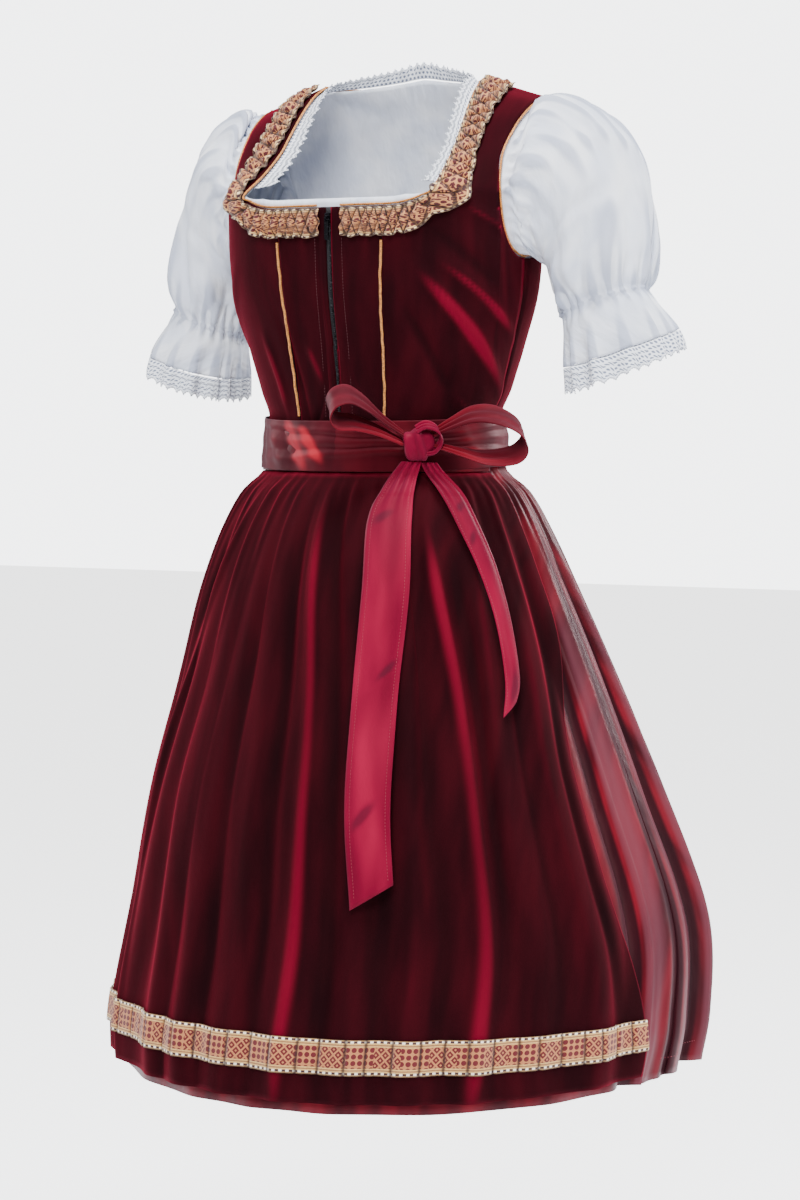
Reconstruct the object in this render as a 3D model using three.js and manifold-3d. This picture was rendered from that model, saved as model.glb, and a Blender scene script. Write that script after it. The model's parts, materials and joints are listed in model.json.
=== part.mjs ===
import * as THREE from 'three';
import { mergeVertices } from 'three/addons/utils/BufferGeometryUtils.js';
import Module from 'manifold-3d';

// A dirndl as it is worn, hollow inside: velvet bodice with a front zip, gathered taffeta skirt,
// velvet apron with a ribbon sash tied in a bow, and a cropped white blouse with puff sleeves.
// Millimetres, +Z up, the front towards -Y and the wearer's left towards +X. The origin lies
// midway between the neck ends of the two shoulder seams, where the garment is held up.

// Thickness of each cloth, and the gaps between the pieces
const velvetWall = 2;
const taffetaWall = 1.2;
const cottonWall = 1;
const ribbonWall = 1.2;
const braidWall = 1.2;
const laceWall = 1;
const tapeWall = 1;
const seamGap = 0.3;
const shoulderGap = 2.4;
const blouseShoulderGap = 8;

// Heights
const neckZ = -142;
const neckCornerZ = -127;
const strapFootZ = -125;
const armholeFootZ = -195;
const backYokeZ = -120;
const waistZ = -396;
const bandLowerZ = -421;
const hemZ = -1075;
const apronHemZ = -1062;
const braidLowerZ = -1032;
const braidHeight = 36;

// Lengths along the cloth
const strapLength = 170;
const yokeHeight = 125;
const blouseLength = 120;
const ruffleWidth = 32;
const neckLaceWidth = 19;
const sashHeight = 54;

// Pipings and the zip
const pipingRadius = 1.5;
const seamPipingRadius = 1.2;
const pipingSides = 5;
const zipHalfGap = 3.4;
const zipTapeHalf = 12;
const sliderWidth = 6;
const pullWidth = 5;
const pullLength = 24;

const degree = Math.PI / 180;

// The torso: one row for each level, an oval with squarer corners as `square` grows
const torsoSections = [
  { z: -430, centreY: -42, halfWidth: 136, halfDepth: 97, square: 2 },
  { z: -396, centreY: -42, halfWidth: 134, halfDepth: 95, square: 2 },
  { z: -364, centreY: -42, halfWidth: 134, halfDepth: 95, square: 2 },
  { z: -329, centreY: -41, halfWidth: 145, halfDepth: 99, square: 2.1 },
  { z: -291, centreY: -40, halfWidth: 155, halfDepth: 105, square: 2.3 },
  { z: -222, centreY: -41, halfWidth: 169, halfDepth: 115, square: 2.6 },
  { z: -115, centreY: -42, halfWidth: 171, halfDepth: 118, square: 2.8 },
  { z: -60, centreY: -42, halfWidth: 170, halfDepth: 116, square: 2.8 },
];

// The front strap from its foot (t 0) to the shoulder seam (t 1)
const strapRows = [
  { t: 0.3, innerX: 111, innerY: -86, innerZ: -82, outerX: 163, outerY: -80, outerZ: -88 },
  { t: 0.6, innerX: 107, innerY: -50, innerZ: -40, outerX: 166, outerY: -50, outerZ: -52 },
  { t: 0.8, innerX: 104, innerY: -25, innerZ: -15, outerX: 169, outerY: -22, outerZ: -32 },
  { t: 1, innerX: 101, innerY: 0, innerZ: 0, outerX: 172, outerY: 5, outerZ: -22 },
];

// The upper back from the shoulder blades (t 0) to the neckline and shoulder seam (t 1)
const yokeRows = [
  { t: 0.4, centreY: 71, centreZ: -72, neckX: 100, neckY: 54, neckZ: -68, armX: 163, armY: 25, armZ: -78 },
  { t: 0.75, centreY: 62, centreZ: -31, neckX: 101, neckY: 27, neckZ: -17, armX: 168, armY: 17, armZ: -40 },
  { t: 1, centreY: 53, centreZ: -6, neckX: 101, neckY: 0, neckZ: 0, armX: 172, armY: 5, armZ: -22 },
];

// The skirt and apron together: the outline over the fold tops, and how deep the folds are
const skirtSections = [
  { z: -1075, centreY: 3, halfWidth: 328, halfDepth: 320, foldDepth: 17, apronDepth: 11 },
  { z: -1017, centreY: 11, halfWidth: 334, halfDepth: 322, foldDepth: 16, apronDepth: 11 },
  { z: -906, centreY: 27, halfWidth: 325, halfDepth: 311, foldDepth: 15, apronDepth: 12 },
  { z: -763, centreY: 3, halfWidth: 286, halfDepth: 268, foldDepth: 14, apronDepth: 12 },
  { z: -634, centreY: -14, halfWidth: 243, halfDepth: 219, foldDepth: 12, apronDepth: 11 },
  { z: -542, centreY: -30, halfWidth: 210, halfDepth: 183, foldDepth: 9, apronDepth: 9 },
  { z: -486, centreY: -36, halfWidth: 187, halfDepth: 156, foldDepth: 6, apronDepth: 6 },
  { z: -443, centreY: -39, halfWidth: 163, halfDepth: 126, foldDepth: 3, apronDepth: 3 },
  { z: -421, centreY: -42, halfWidth: 141, halfDepth: 102, foldDepth: 1.6, apronDepth: 0.6 },
  { z: -397, centreY: -42, halfWidth: 138, halfDepth: 99, foldDepth: 1, apronDepth: 0.4 },
];
const skirtFolds = 20;
const apronSpan = 80 * degree;
const apronGap = 3.4;

// Main folds of the apron: where each ridge starts and ends, in degrees round from the centre front
const apronFolds = [
  { top: -80, hem: -80, spread: 5 },
  { top: -62, hem: -66, spread: 5 },
  { top: -48, hem: -55, spread: 5 },
  { top: -35, hem: -43, spread: 4.5 },
  { top: -26, hem: -28, spread: 4 },
  { top: -17, hem: -19, spread: 4 },
  { top: -8, hem: -8, spread: 4.5 },
  { top: 2.5, hem: 5.5, spread: 5 },
  { top: 15, hem: 17, spread: 4 },
  { top: 27, hem: 29, spread: 4 },
  { top: 39, hem: 41, spread: 5 },
  { top: 52, hem: 52, spread: 4.5 },
  { top: 65, hem: 65, spread: 5 },
  { top: 80, hem: 80, spread: 5 },
];

// The sleeve from just outside the armhole to the cuff's end. Each ring is given by its topmost and
// its underarm point, its middle's y, its reach to front and back, its lean and its gathers
const sleeveRings = [
  { upperX: 190, upperZ: -24, underX: 183, underZ: -194, y: -18, deep: 65, lean: 14, gather: 2.5 },
  { upperX: 236, upperZ: -40, underX: 184, underZ: -200, y: -2, deep: 76, lean: 10, gather: 1.5 },
  { upperX: 267, upperZ: -82, underX: 185, underZ: -209, y: 12, deep: 80, lean: 4, gather: 1 },
  { upperX: 282, upperZ: -132, underX: 187, underZ: -221, y: 14, deep: 79, lean: 0, gather: 1 },
  { upperX: 292, upperZ: -180, underX: 191, underZ: -236, y: 6, deep: 71, lean: 0, gather: 2 },
  { upperX: 293, upperZ: -216, underX: 200, underZ: -251, y: -2, deep: 55, lean: 0, gather: 3 },
  { upperX: 291, upperZ: -232, underX: 206, underZ: -262, y: -5, deep: 44, lean: 0, gather: 2.6 },
  { upperX: 301, upperZ: -245, underX: 206, underZ: -275, y: -4, deep: 50, lean: 0, gather: 3.4 },
  { upperX: 318, upperZ: -270, underX: 209, underZ: -300, y: -3, deep: 60, lean: 0, gather: 4 },
];
const cuffEdge = { upperX: 327, upperZ: -290, underX: 211, underZ: -325, y: -1, deep: 64, lean: 0,
  gather: 4 };
const laceEdge = { upperX: 330, upperZ: -301, underX: 212, underZ: -337, y: -1, deep: 66, lean: 0,
  gather: 4 };
// Worn a little differently on each arm, most at the cuff
const sleeveFits = { left: { narrower: 0, drop: -5 }, right: { narrower: 6, drop: 9 } };
const sleeveGathers = 12;
const sleeveColumns = 36;

// The bow sits on the sash at the wearer's left front. Its loops and tails are tables of stations:
// `side` runs round the waist from the knot, `out` stands off it
const knotAngle = 38 * degree;
const knotZ = -389;
const knotHalf = { side: 17, out: 12, up: 18 };
const loopStations = {
  right: [
    { side: -15, up: 8, out: 4, width: 12 },
    { side: -36, up: 24, out: 12, width: 24 },
    { side: -54, up: 40, out: 18, width: 38 },
    { side: -72, up: 50, out: 25, width: 44 },
    { side: -88, up: 46, out: 28, width: 44 },
    { side: -94, up: 34, out: 28, width: 44 },
    { side: -86, up: 23, out: 26, width: 42 },
    { side: -66, up: 20, out: 21, width: 36 },
    { side: -42, up: 12, out: 15, width: 24 },
    { side: -17, up: -1, out: 5, width: 12 },
  ],
  left: [
    { side: 15.8, up: 8, out: 4, width: 12 },
    { side: 36, up: 20, out: 12, width: 24 },
    { side: 58, up: 29, out: 20, width: 36 },
    { side: 82, up: 28, out: 30, width: 44 },
    { side: 104, up: 16, out: 37, width: 44 },
    { side: 110, up: 0, out: 38, width: 44 },
    { side: 98, up: -13, out: 34, width: 42 },
    { side: 70, up: -16, out: 26, width: 34 },
    { side: 42, up: -9, out: 16, width: 22 },
    { side: 17.3, up: -2, out: 5, width: 12 },
  ],
};
const loopLean = { side: 0.1, up: -0.46, out: 0.88 };
const longTail = [
  { angle: 35, z: -409.4, width: 20, lift: 8 },
  { angle: 29, z: -440, width: 34, lift: 7 },
  { angle: 26.6, z: -470, width: 46, lift: 6 },
  { angle: 25.8, z: -540, width: 49, lift: 5 },
  { angle: 22.5, z: -632, width: 48, lift: 4 },
  { angle: 21.2, z: -705, width: 48, lift: 4 },
  { angle: 20.6, z: -777, width: 47, lift: 4 },
  { angle: 20.8, z: -853, width: 46, lift: 4 },
];
const longTailSlant = 27;
const shortTail = [
  { angle: 42.7, z: -410.5, width: 16, lift: 8.5 },
  { angle: 49, z: -440, width: 26, lift: 7 },
  { angle: 53, z: -470, width: 26, lift: 7 },
  { angle: 57, z: -520, width: 22, lift: 6 },
  { angle: 58.5, z: -570, width: 20, lift: 5 },
  { angle: 57, z: -632, width: 18, lift: 4 },
  { angle: 54.5, z: -665, width: 18, lift: 4 },
];
const shortTailSlant = 16;

const lerp = THREE.MathUtils.lerp;
const clamp = THREE.MathUtils.clamp;

// A smooth row between the rows of a table, for every column at once
function rowAt(table, key, value) {
  const order = table[0][key] < table[table.length - 1][key] ? table : [...table].reverse();
  const last = order.length - 2;
  let low = 0;
  while (low < last && value > order[low + 1][key]) low += 1;
  const start = order[low];
  const end = order[low + 1];
  const before = order[Math.max(low - 1, 0)];
  const after = order[Math.min(low + 2, order.length - 1)];
  const span = end[key] - start[key];
  const t = (value - start[key]) / span;
  const row = {};
  for (const column of Object.keys(start)) {
    const slopeIn = (end[column] - before[column]) / (end[key] - before[key]) * span;
    const slopeOut = (after[column] - start[column]) / (after[key] - start[key]) * span;
    row[column] = (2 * t ** 3 - 3 * t ** 2 + 1) * start[column] + (t ** 3 - 2 * t ** 2 + t) * slopeIn
      + (3 * t ** 2 - 2 * t ** 3) * end[column] + (t ** 3 - t ** 2) * slopeOut;
  }
  return row;
}

function steps(from, to, count) {
  return Array.from({ length: count + 1 }, (_, k) => lerp(from, to, k / count));
}

// A wall of cloth: place(column, row) gives its middle, or null where the cloth is cut away.
// It grows to both sides of that middle, and its rims are closed.
function wall({ columns, rows, place, thickness, closed = false }) {
  const count = columns.length;
  const middle = rows.map((row) => columns.map((column) => place(column, row)));
  const at = (i, j) => middle[j]?.[closed ? (i + count) % count : i] ?? null;
  const positions = [];
  rows.forEach((_, j) => {
    columns.forEach((__, i) => {
      const point = at(i, j) ?? new THREE.Vector3();
      const acrossCloth = new THREE.Vector3().subVectors(at(i + 1, j) ?? point, at(i - 1, j) ?? point);
      const upCloth = new THREE.Vector3().subVectors(at(i, j + 1) ?? point, at(i, j - 1) ?? point);
      const half = acrossCloth.cross(upCloth).normalize().multiplyScalar(thickness / 2);
      positions.push(...point.clone().add(half).toArray(), ...point.clone().sub(half).toArray());
    });
  });
  const kept = (i, j) => {
    const column = closed ? (i + count) % count : i;
    return Boolean(at(column, j) && at(column + 1, j) && at(column, j + 1) && at(column + 1, j + 1));
  };
  const indices = [];
  const front = (i, j) => 2 * (j * count + (i % count));
  for (let j = 0; j < rows.length - 1; j += 1) {
    for (let i = 0; i < (closed ? count : count - 1); i += 1) {
      if (!kept(i, j)) continue;
      const corners = [front(i, j), front(i + 1, j), front(i + 1, j + 1), front(i, j + 1)];
      const [a, b, c, d] = corners;
      indices.push(a, b, c, a, c, d);
      indices.push(a + 1, c + 1, b + 1, a + 1, d + 1, c + 1);
      const neighbours = [kept(i, j - 1), kept(i + 1, j), kept(i, j + 1), kept(i - 1, j)];
      neighbours.forEach((isKept, side) => {
        const p = corners[side];
        const q = corners[(side + 1) % 4];
        if (!isKept) indices.push(q, p, p + 1, q, p + 1, q + 1);
      });
    }
  }
  const used = [...new Set(indices)].sort((m, n) => m - n);
  const renumber = new Map(used.map((old, fresh) => [old, fresh]));
  const geometry = new THREE.BufferGeometry();
  const points = used.flatMap((old) => positions.slice(3 * old, 3 * old + 3));
  geometry.setAttribute('position', new THREE.Float32BufferAttribute(points, 3));
  geometry.setIndex(indices.map((old) => renumber.get(old)));
  return geometry;
}

// A round cord with one ring at each point of its path, closed at both ends
function cordAlong(points, radius) {
  const positions = [];
  const indices = [];
  const last = points.length - 1;
  const ahead = (k) => points[Math.min(k + 1, last)].clone().sub(points[Math.max(k - 1, 0)]).normalize();
  let aside = new THREE.Vector3(0, 0, 1).cross(ahead(0)).normalize();
  points.forEach((point, k) => {
    const forward = ahead(k);
    aside = aside.addScaledVector(forward, -aside.dot(forward)).normalize();
    const above = forward.clone().cross(aside);
    for (let side = 0; side < pipingSides; side += 1) {
      const angle = 2 * Math.PI * side / pipingSides;
      const spoke = aside.clone().multiplyScalar(Math.cos(angle)).addScaledVector(above, Math.sin(angle));
      positions.push(...point.clone().addScaledVector(spoke, radius).toArray());
    }
  });
  for (let side = 0; side < pipingSides; side += 1) {
    const next = (side + 1) % pipingSides;
    for (let k = 0; k < last; k += 1) {
      const [a, b] = [k * pipingSides + side, k * pipingSides + next];
      indices.push(a, b, b + pipingSides, a, b + pipingSides, a + pipingSides);
    }
    const isFan = side > 0 && next > 0;
    if (isFan) indices.push(0, next, side);
    if (isFan) indices.push(last * pipingSides, last * pipingSides + side, last * pipingSides + next);
  }
  const geometry = new THREE.BufferGeometry();
  geometry.setAttribute('position', new THREE.Float32BufferAttribute(positions, 3));
  geometry.setIndex(indices);
  return geometry;
}

// The same piece on the other side of the garment
function mirrored(geometry) {
  const copy = geometry.clone();
  const position = copy.getAttribute('position');
  for (let k = 0; k < position.count; k += 1) position.setX(k, -position.getX(k));
  const index = Array.from(copy.index.array);
  copy.setIndex(index.map((_, k) => index[[k, k + 1, k - 1][k % 3]]));
  return copy;
}

// ---- bodice surfaces ----

function torso(angle, z) {
  const section = rowAt(torsoSections, 'z', z);
  const power = 2 / section.square;
  const sine = Math.sin(angle);
  const cosine = Math.cos(angle);
  const x = section.halfWidth * Math.sign(sine) * Math.abs(sine) ** power;
  const y = section.centreY - section.halfDepth * Math.sign(cosine) * Math.abs(cosine) ** power;
  return new THREE.Vector3(x, y, z);
}

function angleAtX(x, z) {
  const section = rowAt(torsoSections, 'z', z);
  return Math.asin((x / section.halfWidth) ** (section.square / 2));
}

function between(keys, column) {
  const low = clamp(Math.floor(column), 0, keys.length - 2);
  return lerp(keys[low], keys[low + 1], column - low);
}

// Front columns: 0 centre front, 1 front seam, 2 neck corner, 3 armhole, 4 side seam
const seamAtNeckX = 66;
const seamAtWaistX = 50;
function frontAngle(column, z) {
  const seamX = lerp(seamAtWaistX, seamAtNeckX, (z - waistZ) / (neckZ - waistZ));
  const seam = angleAtX(seamX, z);
  const rest = Math.PI / 2 - seam;
  return between([0, seam, seam + 0.28 * rest, seam + 0.78 * rest, Math.PI / 2], column);
}

function armholeDrop(share, topZ) {
  return lerp(topZ, armholeFootZ, Math.sqrt(Math.max(0, 1 - (1 - clamp(share, 0, 1)) ** 2)));
}

function frontTop(column) {
  if (column <= 1) return neckZ;
  if (column <= 2) return lerp(neckZ, neckCornerZ, (column - 1) ** 2);
  if (column <= 3) return lerp(neckCornerZ, strapFootZ, column - 2);
  return armholeDrop(column - 3, strapFootZ);
}

// The front by its column and its height over the top edge: above 0 it is the strap
function front(column, height) {
  const side = Math.sign(column) || 1;
  const share = Math.abs(column);
  const isStrap = height > 0 && share > 1.8 && share < 3.3;
  const lowZ = frontTop(share) + (isStrap ? 0 : height);
  const foot = torso(frontAngle(share, lowZ), lowZ);
  if (!isStrap) return new THREE.Vector3(side * foot.x, foot.y, foot.z);
  const t = height / strapLength;
  const inner = torso(frontAngle(2, neckCornerZ), neckCornerZ);
  const outer = torso(frontAngle(3, strapFootZ), strapFootZ);
  const footRow = { t: 0, innerX: inner.x, innerY: inner.y, innerZ: inner.z,
    outerX: outer.x, outerY: outer.y, outerZ: outer.z };
  const row = rowAt([footRow, ...strapRows], 't', t);
  const across = share - 2;
  const bulge = foot.sub(inner.lerp(outer, across)).multiplyScalar((1 - t) ** 1.5);
  const x = lerp(row.innerX, row.outerX, across) + bulge.x;
  const y = lerp(row.innerY, row.outerY, across) + bulge.y;
  const z = lerp(row.innerZ, row.outerZ, across) + bulge.z;
  return new THREE.Vector3(side * x, y, z);
}

// Back columns: 0 centre back, 1 neck end of the shoulder, 2 armhole, 3 side seam
const neckBackX = 100;
const backArmhole = 60 * degree;
const neckRoundness = 2.2;
function backAngle(column, z) {
  return Math.PI - between([0, angleAtX(neckBackX, z), backArmhole, Math.PI / 2], column);
}

function backTop(column) {
  return column <= 2 ? backYokeZ : armholeDrop(3 - column <= 0 ? 1 : column - 2, backYokeZ);
}

function yokeCurve(row, column) {
  if (column > 1) {
    return new THREE.Vector3(lerp(row.neckX, row.armX, column - 1), lerp(row.neckY, row.armY, column - 1),
      lerp(row.neckZ, row.armZ, column - 1));
  }
  const drop = column ** neckRoundness;
  return new THREE.Vector3(row.neckX * column, lerp(row.centreY, row.neckY, drop),
    lerp(row.centreZ, row.neckZ, drop));
}

// The back by its column and its height over the yoke line
function back(column, height) {
  const side = Math.sign(column) || 1;
  const share = Math.abs(column);
  const isYoke = height > 0 && share < 2.3;
  const lowZ = backTop(share) + (isYoke ? 0 : height);
  const foot = torso(backAngle(share, lowZ), lowZ);
  if (!isYoke) return new THREE.Vector3(side * foot.x, foot.y, foot.z);
  const t = height / yokeHeight;
  const centre = torso(Math.PI, backYokeZ);
  const neck = torso(backAngle(1, backYokeZ), backYokeZ);
  const arm = torso(backAngle(2, backYokeZ), backYokeZ);
  const footRow = { t: 0, centreY: centre.y, centreZ: centre.z, neckX: neck.x, neckY: neck.y, neckZ: neck.z,
    armX: arm.x, armY: arm.y, armZ: arm.z };
  const bulge = foot.sub(yokeCurve(footRow, share)).multiplyScalar(Math.max(0, 1 - t) ** 1.5);
  const point = yokeCurve(rowAt([footRow, ...yokeRows], 't', t), share).add(bulge);
  return new THREE.Vector3(side * point.x, point.y, point.z);
}

// Directions on a surface: across it, up it and out of it
function directions(surface, column, height) {
  const nudge = 0.01;
  const rise = 0.5;
  const here = surface(column, height);
  const across = column < 0 ? surface(column + nudge, height).sub(here)
    : here.clone().sub(surface(column - nudge, height));
  const up = here.sub(surface(column, height - rise)).normalize();
  const out = new THREE.Vector3().crossVectors(across.normalize(), up).normalize();
  if (surface === back) out.negate();
  return { across, up, out };
}

function outBy(surface, column, height, distance) {
  return surface(column, height).addScaledVector(directions(surface, column, height).out, distance);
}

// A point moved past a piece's edge in the cloth's own plane, square to the edge: `up` past a top
// edge, `across` past the edge of a strap
function pastEdge(surface, column, height, towards, distance, out = 0) {
  const { across, up, out: normal } = directions(surface, column, height);
  const squareAcross = across.clone().addScaledVector(up, -across.dot(up)).normalize();
  const squareUp = up.clone().addScaledVector(across, -across.dot(up)).normalize();
  const past = squareAcross.multiplyScalar(towards.across).addScaledVector(squareUp, towards.up).normalize();
  return surface(column, height).addScaledVector(past, distance).addScaledVector(normal, out);
}

// Columns from the armhole's front or back edge to the side seam, closer where the curve is steep
function armholeColumns(first, count) {
  return steps(0, Math.PI / 2, count).map((turn) => first + 1 - Math.cos(turn));
}

// ---- bodice pieces ----

// Stations that the edges share with their pipings
const strapHeights = steps(0, strapLength - shoulderGap / 2, 6);
const yokeHeights = steps(0, yokeHeight - shoulderGap / 2, 4);
const neckColumns = [1, 1.25, 1.5, 1.75, 2];
const armholeSteps = 3;

function frontPlace(lowColumn) {
  return (column, row) => {
    if (row.strap !== undefined) {
      const onStrap = column >= 2 && column <= 3;
      return onStrap ? front(column, row.strap) : null;
    }
    const top = frontTop(column);
    const z = lerp(waistZ, top, row.level);
    const point = front(column, z - top);
    if (column === lowColumn) point.addScaledVector(directions(front, column, z - top).across, seamGap / 2);
    return point;
  };
}

function bodiceFront() {
  const place = (column, level) => {
    const z = lerp(waistZ, neckZ, level);
    if (column === 0) return torso(angleAtX(zipHalfGap, z), z);
    const point = front(column, z - neckZ);
    if (column === 1) point.addScaledVector(directions(front, column, z - neckZ).across, -seamGap / 2);
    return point;
  };
  return wall({ columns: [0, 0.4, 0.7, 1], rows: steps(0, 1, 7), place, thickness: velvetWall });
}

function bodiceSide() {
  const rows = steps(0, 1, 7).map((level) => ({ level }));
  for (const strap of strapHeights.slice(1)) rows.push({ strap });
  const columns = [...neckColumns, 2.34, 2.67, ...armholeColumns(3, armholeSteps)];
  const place = frontPlace(1);
  const sideSeam = (column, row) => {
    const point = place(column, row);
    if (column === columns[columns.length - 1]) point?.add(new THREE.Vector3(0, -seamGap / 2, 0));
    return point;
  };
  return wall({ columns, rows, place: sideSeam, thickness: velvetWall });
}

function backRows(lowZ, lowCount, heights) {
  const rows = steps(0, 1, lowCount).map((level) => ({ level, lowZ }));
  for (const yoke of heights.slice(1)) rows.push({ yoke });
  return rows;
}

function backPoint(column, row, surface = back) {
  if (row.yoke !== undefined) return Math.abs(column) <= 2 ? surface(column, row.yoke) : null;
  const top = backTop(Math.abs(column));
  return surface(column, lerp(row.lowZ, top, row.level) - top);
}

const yokeColumns = [0, 0.35, 0.6, 0.8];
function backColumns() {
  const half = [...yokeColumns, 1, 1.5, ...armholeColumns(2, armholeSteps)];
  return [...half.slice(1).map((column) => -column).reverse(), ...half].reverse();
}

function bodiceBack() {
  const place = (column, row) => {
    const point = backPoint(column, row);
    if (Math.abs(column) === 3) point?.add(new THREE.Vector3(0, seamGap / 2, 0));
    return point;
  };
  const rows = backRows(waistZ, 6, yokeHeights);
  return wall({ columns: backColumns(), rows, place, thickness: velvetWall });
}

// ---- pipings: they run along the edges, just past the velvet ----

const pipingReach = pipingRadius + seamGap;

function neckPiping() {
  const half = [];
  for (const column of [0.12, 0.4, 0.7, ...neckColumns.slice(0, -1)]) {
    half.push(pastEdge(front, column, 0, { across: 0, up: 1 }, pipingReach));
  }
  half.push(pastEdge(front, 2, 0, { across: -0.7, up: 0.7 }, pipingReach));
  for (const height of strapHeights.slice(1)) {
    half.push(pastEdge(front, 2, height, { across: -1, up: 0 }, pipingReach));
  }
  half.push(pastEdge(back, 1, yokeHeight - shoulderGap / 2, { across: -1, up: 0.3 }, pipingReach + 0.4));
  for (const column of yokeColumns.slice(1).reverse()) {
    half.push(pastEdge(back, column, yokeHeight - shoulderGap / 2, { across: 0, up: 1 }, pipingReach));
  }
  const centre = pastEdge(back, 0, yokeHeight - shoulderGap / 2, { across: 0, up: 1 }, pipingReach);
  const other = half.map((point) => new THREE.Vector3(-point.x, point.y, point.z)).reverse();
  return cordAlong([...half, centre, ...other], pipingRadius);
}

// Round the armhole from the underarm: front curve, strap, shoulder, back edge, back curve
function armholePath(reach, out) {
  const turns = steps(0, Math.PI / 2, armholeSteps);
  const path = [];
  for (const turn of turns.slice(1).reverse()) {
    path.push(pastEdge(front, 4 - Math.cos(turn), 0, { across: 0, up: 1 }, reach, out));
  }
  for (const height of strapHeights) {
    path.push(pastEdge(front, 3, height, { across: 1, up: 0 }, reach, out));
  }
  for (const height of [...yokeHeights].reverse()) {
    path.push(pastEdge(back, 2, height, { across: 1, up: 0 }, reach, out));
  }
  for (const turn of turns.slice(1)) {
    path.push(pastEdge(back, 3 - Math.cos(turn), 0, { across: 0, up: 1 }, reach, out));
  }
  return path;
}

function armholePiping() {
  const path = armholePath(pipingReach, 0);
  path[0].y -= seamGap;
  path[path.length - 1].y += seamGap;
  return cordAlong(path, pipingRadius);
}

function seamPiping() {
  const out = velvetWall / 2 + seamGap + seamPipingRadius;
  const path = steps(waistZ + 34 - neckZ, -ruffleWidth - 4, 9).map((height) => outBy(front, 1, height, out));
  return cordAlong(path, seamPipingRadius);
}

// ---- the ruched braid round the front neckline ----

const ruffleOut = velvetWall / 2 + seamGap + braidWall / 2 + 1;
const ruffleRise = 3.2;
const rufflePuffs = 19;
const ruffleFront = { start: 0.13, turnFrom: 1.55, strapTo: strapLength - 4 };

// The neck edge by a share from the zip (0) to the shoulder (1), with the way down the cloth
function neckEdge(share) {
  const frontShare = 0.38;
  const cornerShare = 0.5;
  if (share < frontShare) {
    return { column: lerp(ruffleFront.start, ruffleFront.turnFrom, share / frontShare), height: 0, turn: 90 };
  }
  if (share < cornerShare) {
    const t = (share - frontShare) / (cornerShare - frontShare);
    return { column: lerp(ruffleFront.turnFrom, 2, Math.min(1, t * 1.3)), height: 12 * Math.max(0, t - 0.6),
      turn: lerp(90, 0, t) };
  }
  const t = (share - cornerShare) / (1 - cornerShare);
  return { column: 2, height: lerp(5, ruffleFront.strapTo, t), turn: 0 };
}

function neckRuffle() {
  const wide = 62;
  const place = (share, width) => {
    const edge = neckEdge(share);
    const column = edge.column + width * Math.cos(edge.turn * degree) / wide;
    const height = edge.height - width * Math.sin(edge.turn * degree);
    const wave = 0.5 - 0.5 * Math.cos(2 * Math.PI * rufflePuffs * share);
    const flare = 0.4 + 0.6 * width / ruffleWidth;
    return outBy(front, Math.max(column, 0.05), height, ruffleOut + ruffleRise * wave * flare);
  };
  return wall({ columns: steps(0, 1, 3 * rufflePuffs), rows: [ruffleWidth, ruffleWidth / 2, 1],
    place, thickness: braidWall });
}

// ---- zip ----

const tapeOut = -(velvetWall / 2 + seamGap + tapeWall / 2);

function zipTape() {
  const place = (x, z) => {
    const point = torso(Math.sign(x) * angleAtX(Math.abs(x), z), z);
    point.y -= tapeOut;
    return point;
  };
  return wall({ columns: [-zipTapeHalf, 0.001, zipTapeHalf], rows: steps(waistZ, neckZ, 7), place,
    thickness: tapeWall });
}

const wasm = await Module();
wasm.setup();

function united(first, second) {
  const [a, b] = [first, second].map((geometry) => {
    const bare = geometry.clone();
    bare.deleteAttribute('normal');
    bare.deleteAttribute('uv');
    const merged = mergeVertices(bare, 1e-4);
    const vertProperties = Float32Array.from(merged.getAttribute('position').array);
    const triVerts = Uint32Array.from(merged.index.array);
    return new wasm.Manifold(new wasm.Mesh({ numProp: 3, vertProperties, triVerts }));
  });
  const mesh = a.add(b).getMesh();
  const geometry = new THREE.BufferGeometry();
  geometry.setAttribute('position', new THREE.Float32BufferAttribute(mesh.vertProperties, 3));
  geometry.setIndex(Array.from(mesh.triVerts));
  return geometry;
}

// The slider rides the teeth, and its bridge arches over the pull's cross bar. Both are drawn round
// that bar's axis, which runs along X
const barHalf = 0.7;
const bridgeGap = 1.3;
const bridgeBar = 1.2;
const bridgeHalfWidth = 1;
const sliderZ = neckZ - 11;
const sliderFrontY = torso(0, sliderZ).y - 2.6;
const pivotY = sliderFrontY - bridgeGap;

function zipSlider() {
  const bodyDepth = 3.4;
  const body = new THREE.BoxGeometry(sliderWidth, bodyDepth, 11).translate(0, bridgeGap + bodyDepth / 2, -1);
  const reach = bridgeGap + bridgeBar;
  const profile = new THREE.Shape([
    new THREE.Vector2(reach, reach),
    new THREE.Vector2(-reach, reach - 0.8),
    new THREE.Vector2(-reach, 0.8 - reach),
    new THREE.Vector2(reach, -reach),
    new THREE.Vector2(reach, -bridgeGap),
    new THREE.Vector2(-bridgeGap, -bridgeGap),
    new THREE.Vector2(-bridgeGap, bridgeGap),
    new THREE.Vector2(reach, bridgeGap),
  ]);
  const bridge = new THREE.ExtrudeGeometry(profile, { depth: 2 * bridgeHalfWidth, bevelEnabled: false });
  const turned = bridge.applyMatrix4(new THREE.Matrix4().set(0, 0, 1, -bridgeHalfWidth, 1, 0, 0, 0,
    0, 1, 0, 0, 0, 0, 0, 1));
  return united(body, turned);
}

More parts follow.
